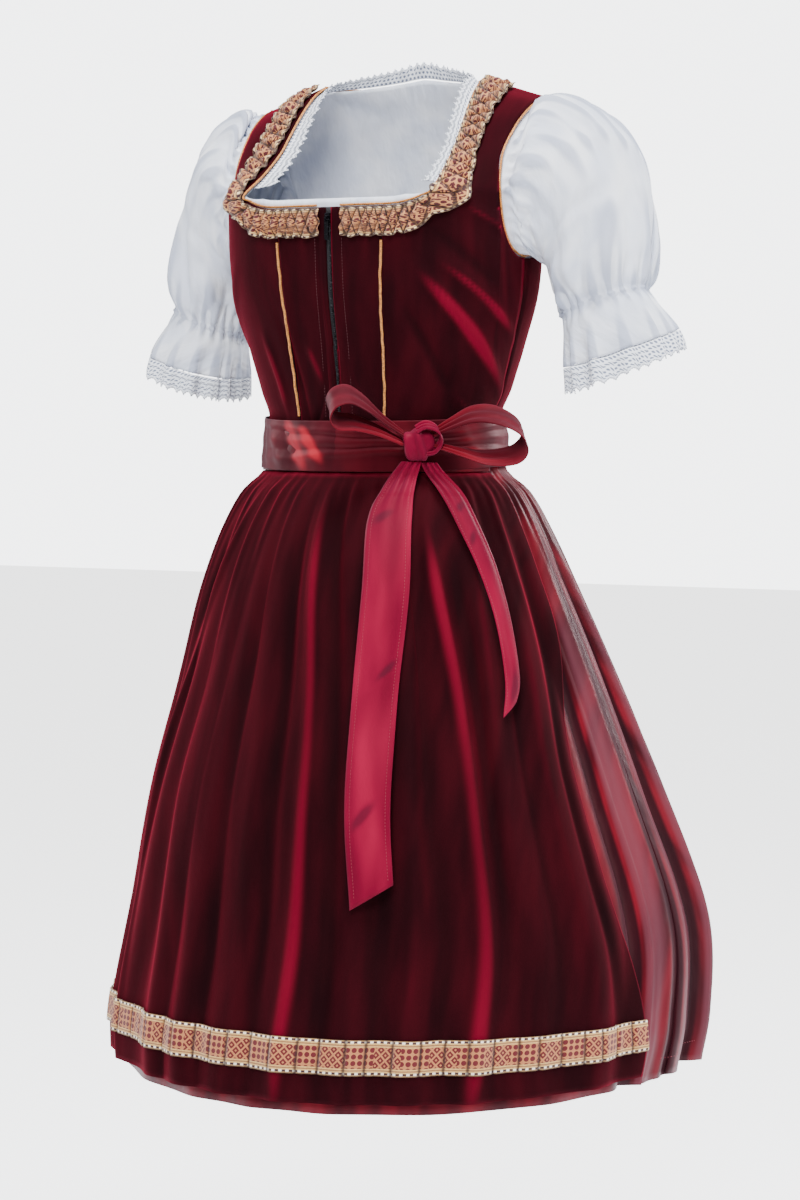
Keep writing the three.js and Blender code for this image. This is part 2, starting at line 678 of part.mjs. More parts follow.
function zipPull() {
  const half = pullWidth / 2;
  const slotHalf = bridgeHalfWidth + 0.4;
  const slotEnd = -4.6;
  const shape = new THREE.Shape();
  shape.moveTo(-half, barHalf);
  shape.lineTo(-half, half - pullLength);
  shape.absarc(0, half - pullLength, half, Math.PI, 2 * Math.PI, false);
  shape.lineTo(half, barHalf);
  shape.closePath();
  shape.holes.push(new THREE.Path([
    new THREE.Vector2(-slotHalf, -barHalf), new THREE.Vector2(slotHalf, -barHalf),
    new THREE.Vector2(slotHalf, slotEnd), new THREE.Vector2(-slotHalf, slotEnd),
  ]));
  const plate = { depth: 2 * barHalf, bevelEnabled: false, curveSegments: 5 };
  return new THREE.ExtrudeGeometry(shape, plate).rotateX(Math.PI / 2).translate(0, barHalf, 0);
}

// ---- blouse ----

const blouseOut = -(velvetWall / 2 + seamGap + tapeWall + seamGap + cottonWall / 2 + 0.6);
const armholeInset = 4.2;
const frontNeckLift = 9;
const backNeckLift = 22;

// The blouse reaches past the velvet's armhole edge, so that its sleeve clears the piping
function blouseFrontPoint(column, height) {
  const share = Math.abs(column);
  if (height > 0) {
    const reach = armholeInset * (share - 2);
    return pastEdge(front, column, height, { across: Math.sign(column), up: 0 }, reach, blouseOut);
  }
  const nearTop = clamp(1 + height / 40, 0, 1);
  if (share > 3) {
    return pastEdge(front, column, height, { across: 0, up: 1 }, armholeInset * nearTop, blouseOut);
  }
  const lift = frontNeckLift * clamp(2 - share, 0, 0.6) / 0.6 * nearTop;
  const reach = armholeInset * clamp(share - 2, 0, 1) * nearTop;
  return pastEdge(front, column, height, { across: Math.sign(column), up: 0 }, reach, blouseOut)
    .add(new THREE.Vector3(0, 0, lift));
}

function blouseFront() {
  const half = [0, 0.5, 1, 1.5, 2, 2.5, ...armholeColumns(3, 3)];
  const columns = [...half.slice(1).map((column) => -column).reverse(), ...half];
  const rows = steps(neckZ - blouseLength, 0, 4).map((level) => ({ level }));
  rows.forEach((row, k) => { row.share = k / 4; });
  for (const strap of steps(0, strapLength - blouseShoulderGap / 2, 6).slice(1)) rows.push({ strap });
  const place = (column, row) => {
    const share = Math.abs(column);
    if (row.strap !== undefined) return share >= 2 && share <= 3 ? blouseFrontPoint(column, row.strap) : null;
    const top = frontTop(share);
    const point = blouseFrontPoint(column, lerp(neckZ - blouseLength, top, row.share) - top);
    if (share === 4) point.y -= seamGap / 2;
    return point;
  };
  return wall({ columns, rows, place, thickness: cottonWall });
}

// The blouse's back neck stands higher than the velvet's, most at the centre
function neckRise(share, height) {
  return backNeckLift * Math.max(0, 1 - share ** 1.15) ** 0.8 * clamp(height / yokeHeight, 0, 1) ** 2;
}

function blouseBackPoint(column, height) {
  const share = Math.abs(column);
  const nearTop = height > 0 ? 1 : clamp(1 + height / 40, 0, 1);
  const isCurve = share > 2 && height <= 0;
  const reach = armholeInset * clamp(share - 1, 0, 1) * nearTop;
  const towards = isCurve ? { across: 0, up: 1 } : { across: Math.sign(column), up: 0 };
  return pastEdge(back, column, height + neckRise(share, height), towards, reach, blouseOut);
}

function blouseBack() {
  const rows = backRows(neckZ - blouseLength, 4, steps(0, yokeHeight - blouseShoulderGap / 2, 4));
  const place = (column, row) => {
    const point = backPoint(column, row, blouseBackPoint);
    if (Math.abs(column) === 3) point?.add(new THREE.Vector3(0, seamGap / 2, 0));
    return point;
  };
  return wall({ columns: backColumns(), rows, place, thickness: cottonWall });
}

// ---- sleeves ----

// The blouse's own armhole edge, as a closed ring of columns that starts at the underarm
function sleeveRoot() {
  const reach = armholeInset + cottonWall / 2 + seamGap + 0.15;
  const path = armholePath(reach, blouseOut).slice(0, -1);
  const edge = new THREE.CurvePath();
  path.forEach((point, k) => edge.add(new THREE.LineCurve3(point, path[(k + 1) % path.length])));
  return edge.getSpacedPoints(sleeveColumns).slice(0, sleeveColumns);
}

const armholeCentre = new THREE.Vector3(170, -34, -108);
const sleeveStart = sleeveRoot();

function fitted(ring, fit) {
  const share = clamp((sleeveRings[1].upperZ - ring.upperZ) / 200, 0, 1);
  return { ...ring, upperX: ring.upperX - fit.narrower * share, upperZ: ring.upperZ - fit.drop * share,
    underX: ring.underX + fit.narrower * share, underZ: ring.underZ - fit.drop * share };
}

function ringPoint(ring, column) {
  const root = sleeveStart[column];
  const angle = Math.atan2(armholeCentre.y - root.y, root.z - armholeCentre.z);
  const upward = Math.cos(angle);
  const ripple = ring.gather * (1 - Math.cos(2 * Math.PI * sleeveGathers * column / sleeveColumns)) / 2;
  const middle = new THREE.Vector3((ring.upperX + ring.underX) / 2, ring.y, (ring.upperZ + ring.underZ) / 2);
  const upper = new THREE.Vector3(ring.upperX, ring.y, ring.upperZ).sub(middle);
  const reach = upper.length();
  const deep = (ring.deep - ripple) * Math.sin(angle);
  return middle.addScaledVector(upper, upward * (reach - ripple) / reach)
    .add(new THREE.Vector3(0, ring.lean * upward - deep, 0));
}

const columnNumbers = Array.from({ length: sleeveColumns }, (_, k) => k);

// It runs straight out through the velvet's armhole before it puffs
const sleeveRun = 13;
function sleeve(fit) {
  const rings = [...sleeveRings, cuffEdge].map((ring) => fitted(ring, fit));
  const place = (column, row) => (row < 0
    ? sleeveStart[column].clone().add(new THREE.Vector3((row + 2) * sleeveRun, 0, 0))
    : ringPoint(rings[row], column));
  const rows = [-2, -1, ...rings.keys()];
  return wall({ columns: columnNumbers, rows, place, thickness: cottonWall, closed: true });
}

function cuffLace(fit) {
  const place = (column, share) => {
    const near = ringPoint(fitted(cuffEdge, fit), column);
    const far = ringPoint(fitted(laceEdge, fit), column);
    const along = far.clone().sub(near);
    const scallop = 1 - 0.22 * (column % 2);
    const start = seamGap + 0.2;
    return near.addScaledVector(along.clone().normalize(), start).addScaledVector(along, share * scallop);
  };
  return wall({ columns: columnNumbers, rows: [0, 1], place, thickness: laceWall, closed: true });
}

// ---- lace round the blouse's neck: up one strap, round the back and down the other ----

function neckLace() {
  const start = laceWall / 2 + seamGap + 0.5;
  const stations = [];
  for (const height of [14, 35, 60, 85, 110, 135, 155]) {
    const width = lerp(neckLaceWidth, 12, height / strapLength);
    stations.push({ surface: front, column: 2, height, towards: { across: -1, up: 0.05 }, width });
  }
  const neckTop = yokeHeight - blouseShoulderGap / 2;
  for (const column of [0.9, 0.75, 0.55, 0.3]) {
    const height = neckTop + neckRise(column, neckTop);
    const width = lerp(neckLaceWidth, 12, column);
    stations.push({ surface: back, column, height, towards: { across: 0, up: 1 }, width });
  }
  const end = { surface: back, column: 0, height: neckTop + neckRise(0, neckTop), width: neckLaceWidth };
  const all = [...stations, { ...end, towards: { across: 0, up: 1 } }];
  const place = (index, share) => {
    const side = index > all.length - 1 ? -1 : 1;
    const station = all[side > 0 ? index : 2 * (all.length - 1) - index];
    const { surface, column, height, towards, width } = station;
    const point = pastEdge(surface, column, height, towards, start + share * width, blouseOut);
    point.z += share * width * 0.35 * Number(surface === front);
    point.x *= side;
    return point;
  };
  const columns = Array.from({ length: 2 * all.length - 1 }, (_, k) => k);
  return wall({ columns, rows: [0, 1], place, thickness: laceWall });
}

// ---- skirt and apron ----

function smooth(from, to, value) {
  return THREE.MathUtils.smoothstep(value, Math.min(from, to), Math.max(from, to)) * Math.sign(to - from)
    + Number(to < from);
}

function around(section, angle, inset) {
  const x = (section.halfWidth - inset) * Math.sin(angle);
  const y = section.centreY - (section.halfDepth - inset) * Math.cos(angle);
  return new THREE.Vector3(x, y, section.z);
}

// Tube folds of the skirt, uneven round it, and pressed flatter under the apron
function skirtPoint(angle, z) {
  const section = { ...rowAt(skirtSections, 'z', z), z: settled(angle, z) };
  const covered = 1 - smooth(78 * degree, 92 * degree, Math.abs(angle));
  const phase = skirtFolds * angle + 0.9 * Math.sin(3 * angle + 1) + 0.7 * Math.sin(5 * angle);
  const valley = (0.5 - 0.5 * Math.cos(phase)) * section.foldDepth;
  const under = section.apronDepth + apronGap + 0.25 * valley;
  return around(section, angle, lerp(valley, under, covered));
}

function apronInset(angle, section) {
  const fall = clamp((section.z - bandLowerZ) / (apronHemZ - bandLowerZ), 0, 1);
  let ridge = 0;
  for (const fold of apronFolds) {
    const centre = lerp(fold.top, fold.hem, fall) * degree;
    const away = Math.abs(angle - centre) / (fold.spread * degree);
    if (away < 1.4) ridge = Math.max(ridge, Math.cos(Math.min(away / 1.4, 1) * Math.PI / 2) ** 2);
  }
  return section.apronDepth * (1 - ridge);
}

function apronPoint(angle, z, out = 0) {
  const section = { ...rowAt(skirtSections, 'z', z), z: settled(angle, z) };
  return around(section, angle, apronInset(angle, section) - out);
}

// The hem hangs lowest in front
const hemRise = 13;
function settled(angle, z) {
  return z + hemRise * Math.min(1.15, 1 - Math.cos(angle)) * clamp((-950 - z) / 120, 0, 1);
}

const skirtRows = [hemZ, -1000, -880, -760, -640, -540, -480, -443, -421, waistZ - 0.5];

function skirtHalf(from) {
  const gap = 2 * seamGap / 260;
  const columns = steps(from + gap, from + Math.PI - gap, 40);
  return wall({ columns, rows: skirtRows, place: skirtPoint, thickness: taffetaWall });
}

const apronRows = [apronHemZ, braidLowerZ, braidLowerZ + braidHeight, -880, -760, -640, -540, -480, -443,
  bandLowerZ - 1.5];
const apronColumns = steps(-apronSpan, apronSpan, 48);

function apronPanel() {
  return wall({ columns: apronColumns, rows: apronRows, place: (angle, z) => apronPoint(angle, z),
    thickness: velvetWall });
}

function apronBraid() {
  const out = velvetWall / 2 + seamGap + braidWall / 2 + 0.5;
  return wall({ columns: apronColumns, rows: [braidLowerZ, braidLowerZ + braidHeight],
    place: (angle, z) => apronPoint(angle, z, out), thickness: braidWall });
}

// ---- waistband, sash and bow ----

const bandSections = [
  { z: -430, centreY: -42, halfWidth: 142.5, halfDepth: 103.5 },
  { z: -396, centreY: -42, halfWidth: 140.5, halfDepth: 101.5 },
  { z: -362, centreY: -42, halfWidth: 137, halfDepth: 98 },
];
const sashOut = 2.2;
const sashRipple = 1.2;

function bandPoint(angle, z, out = 0) {
  return around({ ...rowAt(bandSections, 'z', z), z }, angle, -out);
}

function apronWaistband() {
  return wall({ columns: steps(-apronSpan, apronSpan, 28), rows: [bandLowerZ, -378],
    place: (angle, z) => bandPoint(angle, z), thickness: taffetaWall });
}

// The sash sits lower in front and is pulled into soft folds towards the knot
function sash() {
  const count = 48;
  const columns = Array.from({ length: count }, (_, k) => 2 * Math.PI * k / count);
  const place = (angle, share) => {
    const low = -416 - 5 * smooth(0, 1, Math.cos(angle));
    const z = low + sashHeight * share;
    const nearKnot = Math.exp(-(((angle - knotAngle) / 0.5) ** 2));
    const ripple = sashRipple * nearKnot * Math.sin(share * 1.5 * Math.PI) ** 2;
    return bandPoint(angle, z, sashOut + ripple);
  };
  return wall({ columns, rows: steps(0, 1, 3), place, thickness: ribbonWall, closed: true });
}

const knotSpot = bandPoint(knotAngle, knotZ, sashOut);
const knotSide = new THREE.Vector3(Math.cos(knotAngle - 6 * degree), Math.sin(knotAngle - 6 * degree), 0);
const knotOut = new THREE.Vector3(knotSide.y, -knotSide.x, 0);

function fromKnot({ side, up, out }) {
  return knotSpot.clone().addScaledVector(knotSide, side).addScaledVector(knotOut, out)
    .add(new THREE.Vector3(0, 0, up));
}

function bowKnot() {
  const geometry = new THREE.SphereGeometry(1, 10, 7);
  const lift = knotHalf.out + ribbonWall / 2 + sashRipple + seamGap;
  const centre = fromKnot({ side: 0, up: -3, out: lift });
  const basis = new THREE.Matrix4().makeBasis(knotSide.clone().multiplyScalar(knotHalf.side),
    knotOut.clone().multiplyScalar(-knotHalf.out), new THREE.Vector3(0, 0, knotHalf.up));
  return geometry.applyMatrix4(basis.setPosition(centre));
}

function bowLoop(stations) {
  const curveOf = (edge) => new THREE.CatmullRomCurve3(stations.map((station) => fromKnot({
    side: station.side + edge * station.width * loopLean.side,
    up: station.up + edge * station.width * loopLean.up,
    out: station.out + 12 + edge * station.width * loopLean.out * 0.8,
  })), false, 'centripetal');
  const edges = [curveOf(-0.5), curveOf(0.5)];
  const place = (edge, share) => edges[0].getPoint(share).lerp(edges[1].getPoint(share), edge);
  return wall({ columns: [0, 0.5, 1], rows: steps(0, 1, 20), place, thickness: ribbonWall });
}

// A tail hangs over the apron's fold tops, with a slanting end
function bowTail(stations, slant, knotShift) {
  const rows = steps(0, stations.length - 1, 2 * (stations.length - 1));
  const place = (edge, index) => {
    const station = rowAt(stations.map((row, k) => ({ ...row, k })), 'k', index);
    const low = index / (stations.length - 1);
    const z = station.z + slant * (edge - 0.5) * low ** 6;
    const section = { ...rowAt(skirtSections, 'z', z), z };
    const spread = (edge - 0.5) * station.width / section.halfWidth;
    const crease = 1.5 * Math.cos((edge - 0.5) * Math.PI);
    const hang = around(section, station.angle * degree + spread, -station.lift - crease);
    const nearKnot = Math.max(0, 1 - index / 1.2);
    return hang.addScaledVector(knotOut, knotShift * nearKnot);
  };
  return wall({ columns: steps(1, 0, 3), rows, place, thickness: ribbonWall });
}

// ---- materials and the finished group ----

function cloth(colour, roughness, metalness = 0) {
  return { color: colour, roughness, metalness };
}

const finishes = {
  velvet: cloth(0x5a0f20, 0.9),
  taffeta: cloth(0x7a2434, 0.45),
  ribbon: cloth(0x9a3048, 0.4),
  cotton: cloth(0xe6e9f2, 0.85),
  lace: cloth(0xe9eef6, 0.9),
  braid: cloth(0xd2a27c, 0.85),
  cord: cloth(0xd9a55a, 0.6),
  zipTape: cloth(0x121214, 0.8),
  zipMetal: cloth(0x1a1a1e, 0.35, 0.6),
};

const dirndl = new THREE.Group();
dirndl.name = 'dirndl';

function add(name, finish, geometry) {
  const mesh = new THREE.Mesh(geometry, new THREE.MeshStandardMaterial(finishes[finish]));
  mesh.name = name;
  dirndl.add(mesh);
  return mesh;
}

function addPair(name, finish, geometry) {
  add(`${name}_left`, finish, geometry);
  add(`${name}_right`, finish, mirrored(geometry));
}

addPair('bodice_front', 'velvet', bodiceFront());
addPair('bodice_side', 'velvet', bodiceSide());
add('bodice_back', 'velvet', bodiceBack());
add('neck_piping', 'cord', neckPiping());
addPair('armhole_piping', 'cord', armholePiping());
addPair('seam_piping', 'cord', seamPiping());
addPair('neck_ruffle', 'braid', neckRuffle());
add('zip_tape', 'zipTape', zipTape());
for (const [name, shape] of [['zip_slider', zipSlider()], ['zip_pull', zipPull()]]) {
  add(name, 'zipMetal', shape).position.set(0, pivotY, sliderZ);
}

add('blouse_front', 'cotton', blouseFront());
add('blouse_back', 'cotton', blouseBack());
add('sleeve_left', 'cotton', sleeve(sleeveFits.left));
add('sleeve_right', 'cotton', mirrored(sleeve(sleeveFits.right)));
add('cuff_lace_left', 'lace', cuffLace(sleeveFits.left));
add('cuff_lace_right', 'lace', mirrored(cuffLace(sleeveFits.right)));
add('neck_lace', 'lace', neckLace());

add('skirt_front', 'taffeta', skirtHalf(-Math.PI / 2));
add('skirt_back', 'taffeta', skirtHalf(Math.PI / 2));
add('apron_panel', 'velvet', apronPanel());
add('apron_braid', 'braid', apronBraid());
add('apron_waistband', 'taffeta', apronWaistband());
add('sash', 'ribbon', sash());
add('bow_knot', 'ribbon', bowKnot());
add('bow_loop_right', 'ribbon', bowLoop(loopStations.right));
add('bow_loop_left', 'ribbon', bowLoop(loopStations.left));
add('bow_tail_long', 'ribbon', bowTail(longTail, longTailSlant, 6));
add('bow_tail_short', 'ribbon', bowTail(shortTail, shortTailSlant, 6));

export default dirndl;
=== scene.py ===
# Dirndl: velvet bodice and apron, taffeta skirt and sash, cotton blouse. Sizes are in millimetres
# until a mesh is made, with the front towards -Y and the wearer's left towards +X.
import json
import math
import bpy
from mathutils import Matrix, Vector, noise

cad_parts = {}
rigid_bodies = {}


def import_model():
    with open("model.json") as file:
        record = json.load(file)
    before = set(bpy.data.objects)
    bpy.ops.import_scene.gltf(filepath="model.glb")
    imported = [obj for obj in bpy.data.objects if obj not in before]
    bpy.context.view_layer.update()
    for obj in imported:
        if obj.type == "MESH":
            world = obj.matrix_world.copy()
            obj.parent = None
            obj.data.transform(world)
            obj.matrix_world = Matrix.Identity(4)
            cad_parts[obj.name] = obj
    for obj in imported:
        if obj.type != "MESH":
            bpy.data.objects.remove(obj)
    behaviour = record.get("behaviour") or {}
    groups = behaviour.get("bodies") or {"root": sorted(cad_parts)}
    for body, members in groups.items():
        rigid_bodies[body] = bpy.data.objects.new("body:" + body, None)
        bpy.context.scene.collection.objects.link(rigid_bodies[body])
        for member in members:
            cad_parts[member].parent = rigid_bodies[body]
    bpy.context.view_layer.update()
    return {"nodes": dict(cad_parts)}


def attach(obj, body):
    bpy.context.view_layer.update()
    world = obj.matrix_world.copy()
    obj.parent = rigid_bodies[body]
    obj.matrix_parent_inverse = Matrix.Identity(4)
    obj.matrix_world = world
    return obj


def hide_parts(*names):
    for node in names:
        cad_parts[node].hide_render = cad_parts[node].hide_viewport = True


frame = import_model()
print("frame loaded")

mm = 0.001
degree = math.pi / 180
body = "dress"


def tableOf(columns, *rows):
    names = columns.split()
    return [dict(zip(names, row)) for row in rows]


def clamp(value, low=0.0, high=1.0):
    return max(low, min(high, value))


def lerp(a, b, t):
    return a + (b - a) * t


def smooth(start, end, value):
    t = clamp((value - start) / (end - start))
    return t * t * (3 - 2 * t)


def steps(start, end, count):
    return [lerp(start, end, k / count) for k in range(count + 1)]


def bell(distance, width):
    return math.exp(-(distance / width) ** 2)


def rowAt(table, key, value):  # a smooth row between the rows of a table
    order = table if table[0][key] < table[-1][key] else table[::-1]
    low = 0
    while low < len(order) - 2 and value > order[low + 1][key]:
        low += 1
    start, end = order[low], order[low + 1]
    before, after = order[max(low - 1, 0)], order[min(low + 2, len(order) - 1)]
    span = end[key] - start[key]
    t = (value - start[key]) / span
    weights = (2 * t ** 3 - 3 * t ** 2 + 1, t ** 3 - 2 * t ** 2 + t, 3 * t ** 2 - 2 * t ** 3, t ** 3 - t ** 2)
    row = {}
    for column in start:
        slopeIn = (end[column] - before[column]) / (end[key] - before[key]) * span
        slopeOut = (after[column] - start[column]) / (after[key] - start[key]) * span
        row[column] = (weights[0] * start[column] + weights[1] * slopeIn
                       + weights[2] * end[column] + weights[3] * slopeOut)
    return row


def curveThrough(points, perSpan):  # a smooth line through the points
    line = []
    last = len(points) - 1
    for k in range(last):
        a, b = points[k], points[k + 1]
        before, after = points[max(k - 1, 0)], points[min(k + 2, last)]
        for n in range(perSpan):
            t = n / perSpan
            line.append(splineAt(before, a, b, after, t))
    return line + [points[last].copy()]


def splineAt(before, a, b, after, t):
    return 0.5 * (2 * a + (b - before) * t + (2 * before - 5 * a + 4 * b - after) * t ** 2
                  + (3 * a - before - 3 * b + after) * t ** 3)


def evenPoints(points, count, closed=False):
    path = points + [points[0]] if closed else points
    lengths = [0.0]
    for a, b in zip(path, path[1:]):
        lengths.append(lengths[-1] + (b - a).length)
    result, k = [], 0
    for n in range(count):
        goal = lengths[-1] * n / (count if closed else count - 1)
        while k < len(path) - 2 and lengths[k + 1] < goal:
            k += 1
        span = lengths[k + 1] - lengths[k]
        result.append(path[k].lerp(path[k + 1], (goal - lengths[k]) / span if span else 0))
    return result


def drift(*values):  # a soft random number from -1 to 1, always the same for the same place
    return noise.noise(Vector(values))


def flippedX(point):
    return Vector((-point.x, point.y, point.z))


def onSide(point, sign):
    return point if sign > 0 or point is None else flippedX(point)


def normalsOf(grid, closed):
    rowCount, count = len(grid), len(grid[0])

    def at(i, j):
        if not 0 <= j < rowCount:
            return None
        if closed:
            return grid[j][i % count]
        return grid[j][i] if 0 <= i < count else None

    normals = []
    for j in range(rowCount):
        line = []
        for i in range(count):
            here = grid[j][i]
            if here is None:
                line.append(None)
                continue
            across = (at(i + 1, j) or here) - (at(i - 1, j) or here)
            up = (at(i, j + 1) or here) - (at(i, j - 1) or here)
            line.append(across.cross(up).normalized())
        normals.append(line)
    return normals


def clothMesh(name, columns, rows, place, thickness, closed=False, relief=None, shade=None):
    grid = [[place(column, row) for column in columns] for row in rows]
    # shade sets where the finishes paint highlights and shade; where none is given, the relief sets it
    shade = shade or relief
    folds = []  # how far each point stands out, or below 0 lies low in the folds' hollows: 1 is 6 mm; the finishes paint highlights where it stands out and shade where it lies low
    if relief:
        normals = normalsOf(grid, closed)
        for j, row in enumerate(rows):
            for i, column in enumerate(columns):
                if grid[j][i] is not None:
                    grid[j][i] = grid[j][i] + normals[j][i] * relief(column, row)
    normals = normalsOf(grid, closed)
    rowCount, count = len(rows), len(columns)
    spans = count if closed else count - 1
    numbers, vertices = {}, []
    for j in range(rowCount):
        for i in range(count):
            if grid[j][i] is not None:
                numbers[i, j] = len(vertices)
                half = normals[j][i] * thickness / 2
                if shade:
                    folds += [shade(columns[i], rows[j]) / 6] * 2
                vertices += [(grid[j][i] + half) * mm, (grid[j][i] - half) * mm]

    def kept(i, j):
        if not closed and not 0 <= i < spans:
            return False
        near, far = i % count, (i + 1) % count
        return all(key in numbers for key in ((near, j), (far, j), (near, j + 1), (far, j + 1)))

    # lengths along the cloth, in metres, are its UV map and its cut
    middle = count // 2
    across = []
    for line in grid:
        lengths = [0.0]
        for i in range(1, count + 1):
            a, b = line[i - 1], line[i % count]
            lengths.append(lengths[-1] + ((b - a).length * mm if a is not None and b is not None else 0))
        across.append([length - lengths[middle] for length in lengths])
    known = [i for i in range(count) if all(line[i] is not None for line in grid)] or [middle]
    upCloth = [0.0]
    for j in range(1, rowCount):
        gaps = [(grid[j][i] - grid[j - 1][i]).length for i in known
                if grid[j][i] is not None and grid[j - 1][i] is not None]
        upCloth.append(upCloth[-1] + (sum(gaps) / len(gaps) * mm if gaps else 0.004))

    faces, uvs, area = [], [], 0.0
    for j in range(rowCount - 1):
        for i in range(spans):
            if not kept(i, j):
                continue
            far = (i + 1) % count
            corners = [numbers[i, j], numbers[far, j], numbers[far, j + 1], numbers[i, j + 1]]
            places = [(across[j][i], upCloth[j]), (across[j][i + 1], upCloth[j]),
                      (across[j + 1][i + 1], upCloth[j + 1]), (across[j + 1][i], upCloth[j + 1])]
            faces.append(corners)
            uvs += places
            faces.append([corner + 1 for corner in corners[::-1]])
            uvs += places[::-1]
            neighbours = (kept(i, j - 1), kept(i + 1, j), kept(i, j + 1), kept(i - 1, j))
            for side, isKept in enumerate(neighbours):
                if not isKept:
                    p, q = corners[side], corners[(side + 1) % 4]
                    faces.append([q, p, p + 1, q + 1])
                    uvs += [places[(side + 1) % 4], places[side], places[side], places[(side + 1) % 4]]
            a, b = grid[j][i], grid[j + 1][far]
            c, d = grid[j][far], grid[j + 1][i]
            area += (b - a).cross(d - c).length / 2 * mm * mm
    mesh = bpy.data.meshes.new(name)
    mesh.from_pydata(vertices, [], faces)
    layer = mesh.uv_layers.new(name="cloth")
    layer.data.foreach_set("uv", [number for pair in uvs for number in pair])
    if folds:
        mesh.attributes.new("fold", "FLOAT", "POINT").data.foreach_set("value", folds)
    mesh.polygons.foreach_set("use_smooth", [True] * len(mesh.polygons))
    mesh.update()
    width = max(line[-1 if closed else count - 1] - line[0] for line in across)
    return mesh, {"width": width, "length": upCloth[-1], "area": area}


def linkedObject(name, data):
    thing = bpy.data.objects.new(name, data)
    bpy.context.scene.collection.objects.link(thing)
    return thing


def addPiece(name, mesh, finish, nodes=()):
    piece = linkedObject(name, mesh)
    if not mesh.materials:
        mesh.materials.append(finish["material"])
    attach(piece, body)
    if nodes:
        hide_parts(*nodes)
    return piece


def addCloth(name, finish, thickness, columns, rows, place, closed=False, relief=None,
             shade=None, isNode=True):
    mesh, cut = clothMesh(name, columns, rows, place, thickness, closed, relief, shade)
    piece = addPiece(f"{name}_cloth", mesh, finish, [name] if isNode else [])
    return piece


def addPair(name, finish, thickness, columns, rows, place, relief):
    for side, sign in (("left", 1), ("right", -1)):

        def lay(column, row):
            return onSide(place(column, row), sign)

        def rise(column, row):
            return relief(column, row, sign)

        # the shade paints highlights on the velvet's creases and shade in their troughs
        addCloth(f"{name}_{side}", finish, thickness,
                 columns[::sign], rows, lay, relief=rise, shade=lambda column, row: 1.6 * rise(column, row))


# A crease runs between two places on a cloth; it is a trough where its height is below 0
def creased(creases, along, up):
    total = 0.0
    for crease in creases:
        dx, dy = crease["along2"] - crease["along1"], crease["up2"] - crease["up1"]
        size = dx * dx + dy * dy
        t = ((along - crease["along1"]) * dx + (up - crease["up1"]) * dy) / size
        if not -0.15 < t < 1.15:
            continue
        away = abs((along - crease["along1"]) * dy - (up - crease["up1"]) * dx) / math.sqrt(size)
        if away < 3 * crease["width"]:
            taper = smooth(-0.15, 0.3, t) * (1 - smooth(0.6, 1.15, t))
            total += crease["height"] * bell(away, crease["width"]) * taper
    return total


def hexColour(code):
    channels = [int(code[k:k + 2], 16) / 255 for k in (1, 3, 5)]
    return tuple(c / 12.92 if c <= 0.04045 else ((c + 0.055) / 1.055) ** 2.4 for c in channels) + (1.0,)


usualNodes = {  # a short name: the node's type, its inputs in the order given, its output and its settings
    "mix": ("ShaderNodeMix", (0, 6, 7), 2, {"data_type": "RGBA"}),
    "noise": ("ShaderNodeTexNoise", ("Vector", "Scale", "Detail"), "Fac", {}),
    "stretch": ("ShaderNodeMapping", ("Vector", "Scale"), 0, {}),
    "ease": ("ShaderNodeMapRange", ("Value", "From Min", "From Max"), 0,
             {"interpolation_type": "SMOOTHSTEP"}),
    "bump": ("ShaderNodeBump", ("Height", "Distance", "Strength", "Normal"), 0, {}),
}


# The kind is a short name, a Math node's operation or a node's type. One output is given back,
# or the node itself where give is None.
def addNode(tree, kind, *values, give=0, **settings):
    names = range(3)
    if kind.isupper():
        kind, settings = "ShaderNodeMath", {"operation": kind}
    elif kind in usualNodes:
        kind, names, give, settings = usualNodes[kind]
    node = tree.nodes.new(kind)
    for name, value in settings.items():
        setattr(node, name, value)
    inputs = values[0] if values and isinstance(values[0], dict) else dict(zip(names, values))
    for name, value in inputs.items():
        if isinstance(value, bpy.types.NodeSocket):
            tree.links.new(value, node.inputs[name])
        else:
            node.inputs[name].default_value = value
    return node if give is None or not len(node.outputs) else node.outputs[give]


def startMaterial(name):
    material = bpy.data.materials.new(name)
    material.use_nodes = True
    tree = material.node_tree
    tree.nodes.clear()
    shader = addNode(tree, "ShaderNodeBsdfPrincipled", give=None)
    addNode(tree, "ShaderNodeOutputMaterial", {"Surface": shader.outputs[0]})
    place = addNode(tree, "ShaderNodeTexCoord", give="UV")
    return material, tree, shader, place


def paintedFoldLight(tree):  # painted light: highlights on the ridges of the piece's folds and shade in their hollows, each from 0 to 1
    fold = addNode(tree, "ShaderNodeAttribute", attribute_name="fold", give="Fac")
    ridge = addNode(tree, "ease", fold, 0.1, 1.0)
    hollow = addNode(tree, "ease", addNode(tree, "MULTIPLY", fold, -1.0), 0.05, 0.8)
    return ridge, hollow


def streaked(tree, place, stretch, size, detail):  # soft blots drawn out along the cloth, of a size in metres
    return addNode(tree, "noise", addNode(tree, "stretch", place, (1, stretch, 1)), 1 / size, detail)


def setShader(tree, shader, **inputs):
    for name, value in inputs.items():
        socket = shader.inputs[name.replace("_", " ")]
        if isinstance(value, bpy.types.NodeSocket):
            tree.links.new(value, socket)
        else:
            socket.default_value = value


